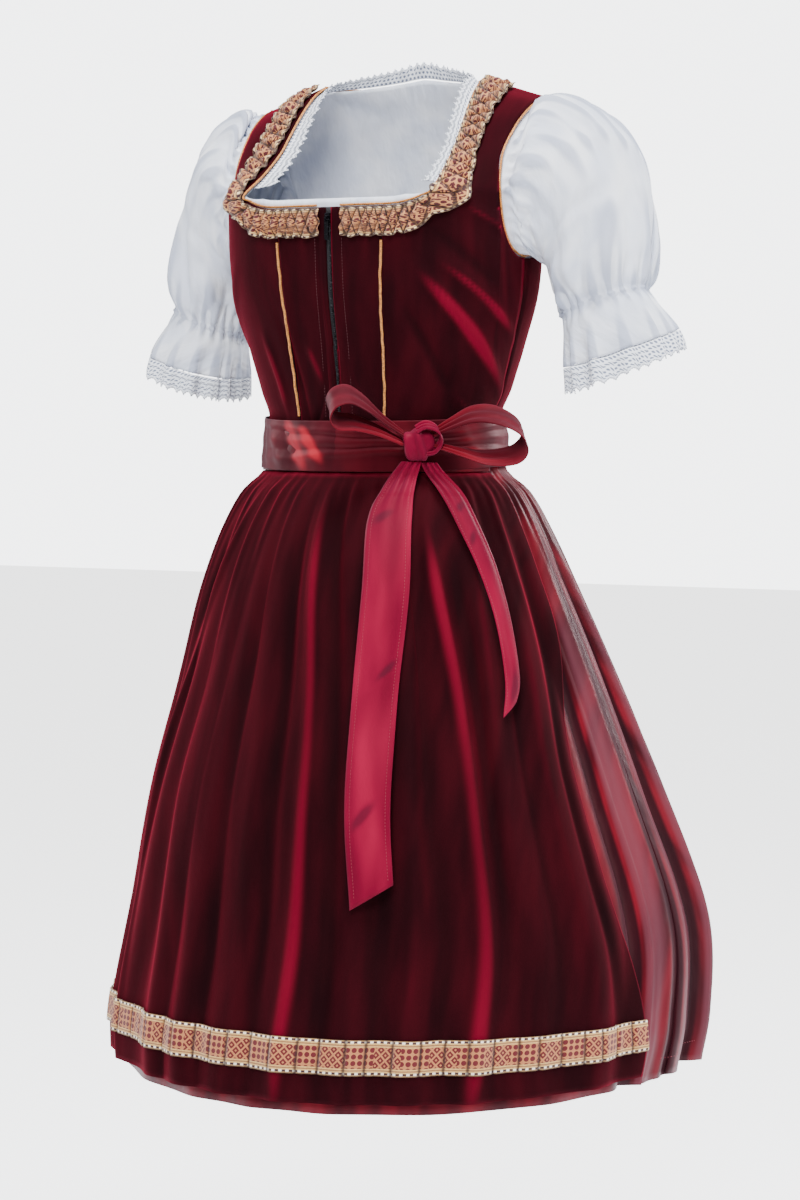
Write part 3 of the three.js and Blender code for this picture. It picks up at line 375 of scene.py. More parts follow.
def velvetFinish():
    # Cut-pile velvet: dark where the pile points at the eye, with a painted sheen where it is seen from the
    # side.
    # Pressed streaks turn the nap a little, and the pile itself is a fine grain; the streaks also stand in for
    # highlights along the folds, so they are partly painted highlight.
    look = {"deep": "#1a0004", "pile": "#30020a", "rim": "#980a30", "sheenTint": "#cc1a44",
            "paintedShadeBlack": "#0c0002", "sheen": 0.1, "streak": 0.034, "crush": 0.014, "grain": 0.0011,
            "pileDepth": 0.0005}
    material, tree, shader, place = startMaterial("velvetCutPile")
    # partly painted highlight: streaks of pressed nap, drawn out down the cloth like the highlights along its
    # folds
    streaksWithPaintedHighlight = addNode(tree, "ease", streaked(tree, place, 0.22, look["streak"], 2), 0.3, 0.75)
    grain = addNode(tree, "noise", place, 1 / look["grain"], 2)
    ground = addNode(tree, "mix", streaksWithPaintedHighlight, hexColour(look["deep"]), hexColour(look["pile"]))
    # painted sheen: the colour turns to the rim colour at grazing angles, a little uneven with the grain
    side = addNode(tree, "ShaderNodeLayerWeight", {"Blend": 0.42}, give="Facing")
    turned = addNode(tree, "MULTIPLY", addNode(tree, "POWER", side, 2.8),
                     addNode(tree, "MULTIPLY_ADD", grain, 0.5, 0.7))
    # painted shade toward near-black in the fold hollows, and a painted highlight in the rim colour on the
    # fold ridges
    ridge, hollow = paintedFoldLight(tree)
    ground = addNode(tree, "mix", addNode(tree, "MULTIPLY", hollow, 0.6), ground, hexColour(look["paintedShadeBlack"]))
    lit = addNode(tree, "MULTIPLY", addNode(tree, "POWER", ridge, 2.2), 0.36)
    ground = addNode(tree, "mix", lit, ground, hexColour(look["rim"]))
    colour = addNode(tree, "mix", addNode(tree, "MULTIPLY", turned, 0.65), ground, hexColour(look["rim"]))
    pile = addNode(tree, "bump", grain, look["pileDepth"], 0.5)
    crushed = addNode(tree, "bump", streaked(tree, place, 0.4, look["crush"], 2), 0.0016, 0.3, pile)
    setShader(tree, shader, Base_Color=colour, Roughness=0.85, Specular_IOR_Level=0.06, Normal=crushed,
              Sheen_Weight=look["sheen"], Sheen_Roughness=0.35, Sheen_Tint=hexColour(look["sheenTint"]))
    return material


def taffetaFinish(name, look):
    # Shot taffeta: one colour in the warp and one in the weft, so it changes as it turns,
    # with the fine cross ribs and the small sharp dents of a stiff filament cloth
    material, tree, shader, place = startMaterial(name)
    side = addNode(tree, "ShaderNodeLayerWeight", {"Blend": 0.5}, give="Facing")
    # painted highlight: soft streaks between the dark and bright colours of the warp, drawn out down the cloth
    streaksWithPaintedHighlight = addNode(tree, "ease", streaked(tree, place, 0.22, look["streak"], 2), 0.35, 0.68)
    warpAndPaintedLight = addNode(tree, "mix", streaksWithPaintedHighlight, hexColour(look["dark"]), hexColour(look["bright"]))
    shot = addNode(tree, "MULTIPLY", addNode(tree, "POWER", side, look["turn"]), look["shot"])
    # painted shade in the fold hollows; on the fold ridges a painted highlight, and on the tails a dark
    # painted shade
    ridge, hollow = paintedFoldLight(tree)
    deep = addNode(tree, "MULTIPLY", hollow, look["hollow"])
    warpAndPaintedLight = addNode(tree, "mix", deep, warpAndPaintedLight, hexColour(look["valley"]))
    warpAndPaintedLight = addNode(tree, "mix", addNode(tree, "MULTIPLY", ridge, 0.6), warpAndPaintedLight, hexColour(look["paintedRidgeColour"]))
    colour = addNode(tree, "mix", shot, warpAndPaintedLight, hexColour(look["mauve"]))
    ribs = addNode(tree, "ShaderNodeTexWave", {"Vector": place, "Scale": 1 / (2 * math.pi * look["rib"])},
                   bands_direction="Y", give="Fac")
    woven = addNode(tree, "bump", ribs, 0.00015, 0.35)
    dented = streaked(tree, place, 0.4, look["dent"], 1.5)
    dents = addNode(tree, "bump", dented, 0.004, look["dentDepth"], woven)
    setShader(tree, shader, Base_Color=colour, Roughness=look["roughness"], Specular_IOR_Level=look["shine"],
              Specular_Tint=hexColour(look["glint"]), Normal=dents)
    return material


def cottonFinish():
    # Fine plain-woven cotton batiste, softly crinkled after ironing, with soft blotches of painted shade and
    # painted shade in its fold hollows
    look = {"thread": "#e6e9f1", "shade": "#cdd3e2", "fold": "#8891aa", "crinkle": 0.018, "weave": 0.0007}
    material, tree, shader, place = startMaterial("cottonBatiste")
    # painted shade: soft blue-grey blotches
    soft = addNode(tree, "noise", place, 1 / 0.05, 2)
    colour = addNode(tree, "mix", addNode(tree, "ease", soft, 0.35, 0.7), hexColour(look["shade"]),
                     hexColour(look["thread"]))
    # painted shade in the fold hollows, in a blue-grey
    hollow = paintedFoldLight(tree)[1]
    colour = addNode(tree, "mix", addNode(tree, "MULTIPLY", hollow, 0.6), colour, hexColour(look["fold"]))
    weave = addNode(tree, "bump", addNode(tree, "noise", place, 1 / look["weave"], 1), 0.0002, 0.4)
    crinkled = addNode(tree, "bump", streaked(tree, place, 0.45, look["crinkle"], 3), 0.006, 0.6, weave)
    setShader(tree, shader, Base_Color=colour, Roughness=0.82, Specular_IOR_Level=0.3, Normal=crinkled,
              Sheen_Weight=0.15, Sheen_Roughness=0.5)
    return material


def laceFinish():
    # Crocheted cotton lace: rows of small eyelets between raised threads. The eyelets are not cut: they are
    # painted grey, as painted shade seen through them
    look = {"thread": "#e9edf6", "gap": "#747c92", "eyelet": 0.0048, "hole": 0.32}
    material, tree, shader, place = startMaterial("cottonLace")
    split = addNode(tree, "ShaderNodeSeparateXYZ", {0: place}, give=None)
    row = addNode(tree, "DIVIDE", split.outputs[1], look["eyelet"])
    shift = addNode(tree, "MULTIPLY", addNode(tree, "FLOOR", row), 0.5)
    column = addNode(tree, "ADD", addNode(tree, "DIVIDE", split.outputs[0], look["eyelet"]), shift)
    x = addNode(tree, "SUBTRACT", addNode(tree, "FRACT", column), 0.5)
    y = addNode(tree, "SUBTRACT", addNode(tree, "FRACT", row), 0.5)
    squares = [addNode(tree, "MULTIPLY", side, side) for side in (x, y)]
    reach = addNode(tree, "SQRT", addNode(tree, "ADD", *squares))
    # the grey in the eyelets is painted shade
    thread = addNode(tree, "ease", reach, look["hole"] - 0.08, look["hole"] + 0.05)
    colour = addNode(tree, "mix", thread, hexColour(look["gap"]), hexColour(look["thread"]))
    setShader(tree, shader, Base_Color=colour, Roughness=0.85, Specular_IOR_Level=0.3,
              Normal=addNode(tree, "bump", thread, 0.0006, 0.8))
    return material


def braidFinish(name, look):
    # Jacquard-woven braid: a cream ground with a red band of lozenges between columns of dots,
    # striped borders and small dashes along both selvedges
    material, tree, shader, place = startMaterial(name)
    split = addNode(tree, "ShaderNodeSeparateXYZ", {0: place}, give=None)
    along, across = split.outputs[0], addNode(tree, "DIVIDE", split.outputs[1], look["width"])
    fromMiddle = addNode(tree, "ABSOLUTE", addNode(tree, "SUBTRACT", across, 0.5))
    inBand = addNode(tree, "LESS_THAN", fromMiddle, look["band"])

    def inRepeat(spot, repeat):  # how far a spot is along its repeat, from 0 to 1
        ahead = addNode(tree, "ADD", spot, look["start"])  # so that no spot is below 0
        return addNode(tree, "FRACT", addNode(tree, "DIVIDE", ahead, repeat))

    def nearTo(spot, middle, half):
        away = addNode(tree, "ABSOLUTE", addNode(tree, "SUBTRACT", spot, middle))
        return addNode(tree, "LESS_THAN", away, half)

    def crossing(slope):
        shifted = addNode(tree, "MULTIPLY_ADD", across, slope * look["width"], along)
        return addNode(tree, "ABSOLUTE", addNode(tree, "SUBTRACT", inRepeat(shifted, look["lozenge"]), 0.5))

    nearLine = addNode(tree, "MINIMUM", crossing(1.0), crossing(-1.0))
    farLine = addNode(tree, "MAXIMUM", crossing(1.0), crossing(-1.0))
    lattice = addNode(tree, "MULTIPLY", addNode(tree, "GREATER_THAN", nearLine, 0.12),
                      addNode(tree, "LESS_THAN", addNode(tree, "MINIMUM", nearLine, farLine), 0.37))
    inLattice = addNode(tree, "LESS_THAN", inRepeat(along, look["repeat"]), look["latticeShare"])
    dotX = addNode(tree, "SUBTRACT", inRepeat(along, look["dot"]), 0.5)
    dotRow = addNode(tree, "MULTIPLY", addNode(tree, "ADD", across, look["dotShift"]), look["dotRows"])
    dotY = addNode(tree, "SUBTRACT", addNode(tree, "FRACT", dotRow), 0.5)
    reach = addNode(tree, "ADD", addNode(tree, "MULTIPLY", dotX, dotX), addNode(tree, "MULTIPLY", dotY, dotY))
    dots = addNode(tree, "LESS_THAN", reach, 0.16)
    motif = addNode(tree, "ADD", addNode(tree, "MULTIPLY", lattice, inLattice),
                    addNode(tree, "MULTIPLY", dots, addNode(tree, "SUBTRACT", 1.0, inLattice)))
    motif = addNode(tree, "MULTIPLY", motif, inBand)
    ground = addNode(tree, "mix", addNode(tree, "noise", place, 1 / 0.002, 2), hexColour(look["cream"]),
                     hexColour(look["tan"]))
    ground = addNode(tree, "mix", addNode(tree, "MULTIPLY", inBand, 0.62), ground, hexColour(look["field"]))
    colour = addNode(tree, "mix", motif, ground, hexColour(look["red"]))
    stripe = nearTo(fromMiddle, look["band"] + 0.055, 0.018)
    colour = addNode(tree, "mix", addNode(tree, "MULTIPLY", stripe, 0.7), colour, hexColour(look["brown"]))
    dash = addNode(tree, "LESS_THAN", inRepeat(along, look["dash"]), 0.46)
    edge = nearTo(fromMiddle, look["edge"], 0.03)
    dashes = addNode(tree, "mix", dash, hexColour(look["plum"]), hexColour(look["white"]))
    colour = addNode(tree, "mix", edge, colour, dashes)
    rim = addNode(tree, "GREATER_THAN", fromMiddle, 0.47)
    colour = addNode(tree, "mix", addNode(tree, "MULTIPLY", rim, 0.8), colour, hexColour(look["plum"]))
    # painted shade in the braid's tucks and crumples
    colour = addNode(tree, "mix", addNode(tree, "MULTIPLY", paintedFoldLight(tree)[1], 0.85), colour,
                     hexColour(look["hollow"]))
    threads = addNode(tree, "ShaderNodeTexWave", {"Vector": place, "Scale": 1 / (2 * math.pi * 0.0006)},
                      bands_direction="X", give="Fac")
    height = addNode(tree, "MULTIPLY_ADD", motif, 0.8, addNode(tree, "MULTIPLY", threads, 0.35))
    setShader(tree, shader, Base_Color=colour, Roughness=0.72, Specular_IOR_Level=0.35,
              Normal=addNode(tree, "bump", height, 0.0006, 0.7), Sheen_Weight=0.2)
    return material


def cordFinish():
    # Twisted viscose cord, gold with a silky shine; a fine noise paints the shadow colour in spots, as painted
    # shade for the hollows between the strands
    look = {"gold": "#e09238", "shadow": "#8a4c14", "strand": 0.0014}
    material, tree, shader, _ = startMaterial("goldTwistedCord")
    spot = addNode(tree, "ShaderNodeTexCoord", give="Object")
    fibre = addNode(tree, "noise", spot, 1 / look["strand"], 2)
    colour = addNode(tree, "mix", addNode(tree, "ease", fibre, 0.35, 0.65), hexColour(look["shadow"]),
                     hexColour(look["gold"]))
    setShader(tree, shader, Base_Color=colour, Roughness=0.45, Specular_IOR_Level=0.5, Metallic=0.15,
              Normal=addNode(tree, "bump", fibre, 0.0003, 0.5), Sheen_Weight=0.2)
    return material


def threadFinish(name, colour):
    # Spun polyester sewing thread
    material, tree, shader, _ = startMaterial(name)
    spot = addNode(tree, "ShaderNodeTexCoord", give="Object")
    fibre = addNode(tree, "noise", spot, 1 / 0.0006, 1)
    shades = addNode(tree, "mix", fibre, hexColour(colour),
                     tuple(0.7 * c for c in hexColour(colour)[:3]) + (1.0,))
    setShader(tree, shader, Base_Color=shades, Roughness=0.6,
              Normal=addNode(tree, "bump", fibre, 0.0001, 0.4))
    return material


def zipTapeFinish():
    # Herringbone-woven zip tape, black
    material, tree, shader, place = startMaterial("zipTapeWoven")
    weave = addNode(tree, "ShaderNodeTexWave", {"Vector": place, "Scale": 1 / (2 * math.pi * 0.0009),
                                                "Distortion": 1.2}, bands_direction="DIAGONAL", give="Fac")
    colour = addNode(tree, "mix", weave, hexColour("#0d0d10"), hexColour("#1d1d22"))
    setShader(tree, shader, Base_Color=colour, Roughness=0.75,
              Normal=addNode(tree, "bump", weave, 0.0002, 0.6))
    return material


def zipMetalFinish():
    # Black-lacquered metal, rubbed a little at its high spots
    material, tree, shader, _ = startMaterial("zipLacqueredMetal")
    spot = addNode(tree, "ShaderNodeTexCoord", give="Object")
    wear = addNode(tree, "ease", addNode(tree, "noise", spot, 1 / 0.002, 3), 0.55, 0.75)
    colour = addNode(tree, "mix", wear, hexColour("#141418"), hexColour("#3a3a42"))
    rough = addNode(tree, "MULTIPLY_ADD", wear, 0.15, 0.25)
    setShader(tree, shader, Base_Color=colour, Roughness=rough, Metallic=0.7,
              Normal=addNode(tree, "bump", addNode(tree, "noise", spot, 1 / 0.0008, 2), 0.0001, 0.3))
    return material


# In the taffeta looks the darkest colour is painted shade for the fold hollows, the ridge colour a painted
# highlight on the fold ridges, and the dark and bright colours end the painted highlight streaks
skirtLook = {"valley": "#14040a", "dark": "#2c040b", "bright": "#6c101e", "mauve": "#5e323e",
             "paintedRidgeColour": "#62343f",
             "glint": "#c07880",
             "streak": 0.04, "turn": 2.0, "shot": 0.6, "hollow": 0.92, "rib": 0.0006, "dent": 0.026,
             "dentDepth": 0.5, "roughness": 0.38, "shine": 0.36}
sashLook = {"valley": "#14040a", "dark": "#2a060d", "bright": "#4c0e18", "mauve": "#66343e",
            "paintedRidgeColour": "#c42a38",
            "glint": "#b03c48",
            "streak": 0.05, "turn": 1.4, "shot": 0.65, "hollow": 0.6, "rib": 0.0006, "dent": 0.02,
            "dentDepth": 0.2, "roughness": 0.46, "shine": 0.3}
loopLook = dict(sashLook, dark="#360710", bright="#7c1222", shot=0.6)
# on the tails the ridge colour is dark: painted shade on the ribbon's dented patches and ridges
tailLook = dict(sashLook, dark="#5c0922", bright="#8e1034", mauve="#6c3046", paintedRidgeColour="#2c1420", shot=0.4,
                shine=0.35)
# the motifs and dashes are drawn a little coarser than real ones, so that they show
apronBraidLook = {"width": 0.036, "start": 5, "dotShift": 0.09, "dotRows": 5.6, "repeat": 0.062,
                  "latticeShare": 0.5, "lozenge": 0.0104, "dot": 0.0068, "band": 0.29,
                  "edge": 0.43, "dash": 0.0072, "cream": "#e4bc78", "tan": "#a87840", "field": "#a04028",
                  "red": "#5a0410", "brown": "#5e2018", "plum": "#300a16", "white": "#f0e6d6",
                  # the last colour is painted shade for the tucks
                  "hollow": "#2c0c0a"}
neckBraidLook = dict(apronBraidLook, width=0.037, repeat=0.046, lozenge=0.0112, dot=0.0074, band=0.37,
                     edge=0.46,
                     cream="#f6cf8c", red="#4a040c", tan="#ac7434", field="#b05a30", white="#ecd0a0")

finishes = {
    "velvet": {"slot": "velvet", "material": velvetFinish()},
    "skirt": {"slot": "taffeta", "material": taffetaFinish("taffetaShot", skirtLook)},
    "sash": {"slot": "ribbon", "material": taffetaFinish("taffetaRibbonSash", sashLook)},
    "bow": {"slot": "ribbon", "material": taffetaFinish("taffetaRibbonBow", loopLook)},
    "tail": {"slot": "ribbon", "material": taffetaFinish("taffetaRibbonTails", tailLook)},
    "cotton": {"slot": "cotton", "material": cottonFinish()},
    "lace": {"slot": "lace", "material": laceFinish()},
    "apronBraid": {"slot": "braid", "material": braidFinish("braidJacquardApron", apronBraidLook)},
    "neckBraid": {"slot": "braid", "material": braidFinish("braidJacquardNeck", neckBraidLook)},
    "cord": {"slot": "cord", "material": cordFinish()},
    "zipTape": {"slot": "zip_tape", "material": zipTapeFinish()},
    "zipMetal": {"slot": "zip_metal", "material": zipMetalFinish()},
    "redThread": {"slot": "ribbon", "material": threadFinish("threadRed", "#8c2a3a")},
    "darkThread": {"slot": "velvet", "material": threadFinish("threadWine", "#4a101c")},
    "whiteThread": {"slot": "cotton", "material": threadFinish("threadWhite", "#f2f4fa")},
}
print("finishes made")


# Geometry Nodes trees: small things along a line, and twisted cord
def startTree(name, sockets):
    tree = bpy.data.node_groups.new(name, "GeometryNodeTree")
    tree.interface.new_socket(name="Geometry", in_out="INPUT", socket_type="NodeSocketGeometry")
    for label, kind in sockets:
        tree.interface.new_socket(name=label, in_out="INPUT", socket_type=kind)
    tree.interface.new_socket(name="Geometry", in_out="OUTPUT", socket_type="NodeSocketGeometry")
    source = tree.nodes.new("NodeGroupInput").outputs
    return tree, source


def endTree(tree, source, geometry):
    real = addNode(tree, "GeometryNodeRealizeInstances", {0: geometry})
    soft = addNode(tree, "GeometryNodeSetShadeSmooth", {0: real})
    made = addNode(tree, "GeometryNodeSetMaterial", {"Geometry": soft, "Material": source["Material"]})
    addNode(tree, "NodeGroupOutput", {0: made})
    return tree


def beadTree(name, shape):
    tree, source = startTree(name, [("Spacing", "NodeSocketFloat"), ("Size", "NodeSocketVector"),
                                    ("Material", "NodeSocketMaterial")])
    line = addNode(tree, "GeometryNodeMeshToCurve", {"Mesh": source["Geometry"]})
    dots = addNode(tree, "GeometryNodeResampleCurve", {"Curve": line, "Length": source["Spacing"]},
                   mode="LENGTH", give=None)
    ahead = addNode(tree, "GeometryNodeInputTangent")
    turn = addNode(tree, "FunctionNodeAlignRotationToVector", {"Vector": ahead}, axis="X")
    if shape == "block":
        thing = addNode(tree, "GeometryNodeMeshCube", {"Size": (1, 1, 1)})
    else:
        thing = addNode(tree, "GeometryNodeMeshIcoSphere", {"Radius": 0.5, "Subdivisions": 1})
    many = addNode(tree, "GeometryNodeInstanceOnPoints",
                   {"Points": dots.outputs[0], "Instance": thing, "Rotation": turn, "Scale": source["Size"]})
    return endTree(tree, source, many)


def cordTree(name):
    tree, source = startTree(name, [("Radius", "NodeSocketFloat"), ("Lay", "NodeSocketFloat"),
                                    ("Step", "NodeSocketFloat"), ("Material", "NodeSocketMaterial")])
    line = addNode(tree, "GeometryNodeMeshToCurve", {"Mesh": source["Geometry"]})
    path = addNode(tree, "GeometryNodeResampleCurve", {"Curve": line, "Length": source["Step"]},
                   mode="LENGTH")
    along = addNode(tree, "GeometryNodeSplineParameter", give="Length")
    turns = addNode(tree, "DIVIDE", along, source["Lay"])
    angle = addNode(tree, "MULTIPLY", turns, 2 * math.pi)
    twisted = addNode(tree, "GeometryNodeSetCurveTilt", {"Curve": path, "Tilt": angle})
    inner = addNode(tree, "MULTIPLY", source["Radius"], 0.62)
    section = addNode(tree, "GeometryNodeCurveStar",
                      {"Points": 3, "Inner Radius": inner, "Outer Radius": source["Radius"]})
    tube = addNode(tree, "GeometryNodeCurveToMesh",
                   {"Curve": twisted, "Profile Curve": section, "Fill Caps": True})
    return endTree(tree, source, tube)


trees = {"bead": beadTree("smallBeads", "bead"), "block": beadTree("smallBlocks", "block"),
         "cord": cordTree("twistedCord")}


def grown(name, treeName, paths, values):
    vertices, edges = [], []
    for path in paths:
        start = len(vertices)
        vertices += [point * mm for point in path]
        edges += [(start + k, start + k + 1) for k in range(len(path) - 1)]
    lines = bpy.data.meshes.new(name + "Line")
    lines.from_pydata(vertices, edges, [])
    holder = linkedObject(name + "Line", lines)
    modifier = holder.modifiers.new("grow", "NODES")
    modifier.node_group = trees[treeName]
    for item in trees[treeName].interface.items_tree:
        if item.in_out == "INPUT" and item.name in values:
            modifier[item.identifier] = values[item.name]
    holder.update_tag()
    depsgraph = bpy.context.evaluated_depsgraph_get()
    depsgraph.update()
    mesh = bpy.data.meshes.new_from_object(holder.evaluated_get(depsgraph), depsgraph=depsgraph)
    mesh.name = name
    bpy.data.objects.remove(holder)
    return mesh


def addBeads(name, paths, finish, spacing=3.2, size=(2.3, 0.55, 0.55), shape="bead"):
    mesh = grown(name, shape, paths, {"Spacing": spacing * mm, "Size": tuple(side * mm for side in size),
                                      "Material": finishes[finish]["material"]})
    return addPiece(name, mesh, finishes[finish])


def addCord(name, path, radius, node):
    mesh = grown(name, "cord", [path], {"Radius": radius * mm, "Lay": 6.5 * mm, "Step": 1.1 * mm,
                                       "Material": finishes["cord"]["material"]})
    return addPiece(name, mesh, finishes["cord"], [node])


# The dress's sizes, and the rings of the torso that the bodice lies on
build = {
    "velvetWall": 2, "taffetaWall": 1.2, "cottonWall": 1, "ribbonWall": 1.2, "braidWall": 1.2, "laceWall": 1,
    "tapeWall": 1, "seamGap": 0.3, "shoulderGap": 2.4, "blouseShoulderGap": 8,
    "neckZ": -142, "neckCornerZ": -127, "strapFootZ": -125, "armholeFootZ": -195, "backYokeZ": -120,
    "waistZ": -396, "bandLowerZ": -421, "hemZ": -1075, "apronHemZ": -1062, "braidLowerZ": -1032,
    "braidHeight": 36,
    "strapLength": 170, "yokeHeight": 125, "blouseLength": 120, "ruffleWidth": 32, "neckLaceWidth": 19,
    "sashHeight": 54, "pipingRadius": 1.5, "seamPipingRadius": 1.6, "zipHalfGap": 3.4, "zipTapeHalf": 12,
}
torsoSections = tableOf(
    "z centreY halfWidth halfDepth square",
    (-430, -42, 136, 97, 2), (-396, -42, 134, 95, 2), (-364, -42, 134, 95, 2), (-329, -41, 145, 99, 2.1),
    (-291, -40, 155, 105, 2.3), (-222, -41, 169, 115, 2.6), (-115, -42, 171, 118, 2.8),
    (-60, -42, 170, 116, 2.8))
strapRows = tableOf(
    "t innerX innerY innerZ outerX outerY outerZ",
    (0.3, 111, -86, -82, 163, -80, -88), (0.6, 107, -50, -40, 166, -50, -52),
    (0.8, 104, -25, -15, 169, -22, -32), (1, 101, 0, 0, 172, 5, -22))
yokeRows = tableOf(
    "t centreY centreZ neckX neckY neckZ armX armY armZ",
    (0.4, 71, -72, 100, 54, -68, 163, 25, -78), (0.75, 62, -31, 101, 27, -17, 168, 17, -40),
    (1, 53, -6, 101, 0, 0, 172, 5, -22))


def torso(angle, z):
    section = rowAt(torsoSections, "z", z)
    power = 2 / section["square"]
    sine, cosine = math.sin(angle), math.cos(angle)
    x = section["halfWidth"] * math.copysign(abs(sine) ** power, sine)
    y = section["centreY"] - section["halfDepth"] * math.copysign(abs(cosine) ** power, cosine)
    return Vector((x, y, z))


def angleAtX(x, z):
    section = rowAt(torsoSections, "z", z)
    return math.asin((x / section["halfWidth"]) ** (section["square"] / 2))


def between(keys, column):
    low = int(clamp(math.floor(column), 0, len(keys) - 2))
    return lerp(keys[low], keys[low + 1], column - low)


def frontAngle(column, z):  # 0 centre front, 1 front seam, 2 neck corner, 3 armhole, 4 side seam
    seam = angleAtX(lerp(50, 66, (z - build["waistZ"]) / (build["neckZ"] - build["waistZ"])), z)
    rest = math.pi / 2 - seam
    return between([0, seam, seam + 0.28 * rest, seam + 0.78 * rest, math.pi / 2], column)


def armholeDrop(share, topZ):
    return lerp(topZ, build["armholeFootZ"], math.sqrt(max(0, 1 - (1 - clamp(share)) ** 2)))


def frontTop(column):
    if column <= 1:
        return build["neckZ"]
    if column <= 2:
        return lerp(build["neckZ"], build["neckCornerZ"], (column - 1) ** 2)
    if column <= 3:
        return lerp(build["neckCornerZ"], build["strapFootZ"], column - 2)
    return armholeDrop(column - 3, build["strapFootZ"])


def front(column, height):  # height over the top edge: above 0 it is the strap
    side, share = (-1 if column < 0 else 1), abs(column)
    isStrap = height > 0 and 1.8 < share < 3.3
    lowZ = frontTop(share) + (0 if isStrap else height)
    foot = torso(frontAngle(share, lowZ), lowZ)
    if not isStrap:
        return Vector((side * foot.x, foot.y, foot.z))
    t = height / build["strapLength"]
    inner = torso(frontAngle(2, build["neckCornerZ"]), build["neckCornerZ"])
    outer = torso(frontAngle(3, build["strapFootZ"]), build["strapFootZ"])
    footRow = {"t": 0, "innerX": inner.x, "innerY": inner.y, "innerZ": inner.z,
               "outerX": outer.x, "outerY": outer.y, "outerZ": outer.z}
    row = rowAt([footRow] + strapRows, "t", t)
    across = share - 2
    bulge = (foot - inner.lerp(outer, across)) * max(0, 1 - t) ** 1.5
    point = Vector([lerp(row["inner" + axis], row["outer" + axis], across) for axis in "XYZ"]) + bulge
    return Vector((side * point.x, point.y, point.z))


def backAngle(column, z):  # 0 centre back, 1 neck end of the shoulder, 2 armhole, 3 side seam
    return math.pi - between([0, angleAtX(100, z), 60 * degree, math.pi / 2], column)


def backTop(column):
    return build["backYokeZ"] if column <= 2 else armholeDrop(column - 2, build["backYokeZ"])


def yokeCurve(row, column):
    if column > 1:
        return Vector([lerp(row["neck" + axis], row["arm" + axis], column - 1) for axis in "XYZ"])
    drop = column ** 2.2
    return Vector((row["neckX"] * column, lerp(row["centreY"], row["neckY"], drop),
                   lerp(row["centreZ"], row["neckZ"], drop)))


def back(column, height):
    side, share = (-1 if column < 0 else 1), abs(column)
    isYoke = height > 0 and share < 2.3
    lowZ = backTop(share) + (0 if isYoke else height)
    foot = torso(backAngle(share, lowZ), lowZ)
    if not isYoke:
        return Vector((side * foot.x, foot.y, foot.z))
    t = height / build["yokeHeight"]
    centre, neck, arm = (torso(angle, build["backYokeZ"]) for angle in
                         (math.pi, backAngle(1, build["backYokeZ"]), backAngle(2, build["backYokeZ"])))
    footRow = {"t": 0, "centreY": centre.y, "centreZ": centre.z, "neckX": neck.x, "neckY": neck.y,
               "neckZ": neck.z, "armX": arm.x, "armY": arm.y, "armZ": arm.z}
    bulge = (foot - yokeCurve(footRow, share)) * max(0, 1 - t) ** 1.5
    point = yokeCurve(rowAt([footRow] + yokeRows, "t", t), share) + bulge
    return Vector((side * point.x, point.y, point.z))


def directions(surface, column, height):
    here = surface(column, height)
    if column < 0:
        across = surface(column + 0.01, height) - here
    else:
        across = here - surface(column - 0.01, height)
    up = (here - surface(column, height - 0.5)).normalized()
    out = across.normalized().cross(up).normalized()
    return across.normalized(), up, (-out if surface is back else out)


def outBy(surface, column, height, distance):
    return surface(column, height) + directions(surface, column, height)[2] * distance


def pastEdge(surface, column, height, across, up, distance, out=0.0):
    acrossWay, upWay, outWay = directions(surface, column, height)
    squareAcross = (acrossWay - upWay * acrossWay.dot(upWay)).normalized()
    squareUp = (upWay - acrossWay * upWay.dot(acrossWay)).normalized()
    past = (squareAcross * across + squareUp * up).normalized()
    return surface(column, height) + past * distance + outWay * out


def armholeColumns(first, count):
    return [first + 1 - math.cos(turn) for turn in steps(0, math.pi / 2, count)]


# creases of the velvet: along is degrees from the centre front times 2.6, up is the height
bodiceCreases = {
    1: tableOf("along1 up1 along2 up2 width height",
               (112, -206, 246, -352, 8, 4.2), (130, -196, 240, -286, 6, 3.4), (152, -140, 234, -184, 5, 3.2),
               (96, -240, 190, -380, 7, -3.0), (60, -360, 130, -388, 6, -2.0), (20, -300, 70, -392, 7, 1.8),
               (170, -130, 236, -150, 5, -2.4), (120, -160, 200, -230, 7, -2.4),
               (150, -330, 236, -388, 6, 2.6)),
    -1: tableOf("along1 up1 along2 up2 width height",
                (122, -276, 106, -362, 6, 3.2), (50, -284, 22, -334, 6, 2.6), (90, -250, 60, -380, 7, -2.4),
                (150, -200, 210, -300, 8, 2.6), (20, -330, 60, -390, 5, -1.8)),
}


def bodiceRelief(point, side):
    angle = math.atan2(abs(point.x), -(point.y + 42)) / degree
    total = creased(bodiceCreases[side], 2.6 * angle, point.z)
    total += 0.8 * drift(point.x / 40, point.z / 55, side + point.y / 60)
    nearWaist = 1 - smooth(build["waistZ"], build["waistZ"] + 90, point.z)
    return total + 0.9 * nearWaist * math.sin(point.z / 7 + 3 * drift(point.x / 45, point.y / 45, 4))


def edgeGap(column, edge, surface, height, sign):
    way = directions(surface, edge, height)[0]
    return way * sign * build["seamGap"] / 2 if abs(column - edge) < 1e-6 else Vector()


def bodiceFrontPlace(column, level):
    z = lerp(build["waistZ"], build["neckZ"], level)
    if column == 0:
        return torso(angleAtX(build["zipHalfGap"], z), z)
    return front(column, z - build["neckZ"]) + edgeGap(column, 1, front, z - build["neckZ"], -1)


def bodiceFrontRelief(column, level, side):
    point = bodiceFrontPlace(column, level)
    placket = {"ridge": 7.5, "trough": 12, "height": 1.5}
    ridge = placket["height"] * bell(point.x - placket["ridge"], 2.2)
    fold = ridge - 0.9 * bell(point.x - placket["trough"], 2)
    hem = 0.9 * bell(column, 0.05)
    return bodiceRelief(point, side) * smooth(0, 0.25, column) + fold * (1.3 if side < 0 else 0.7) - hem


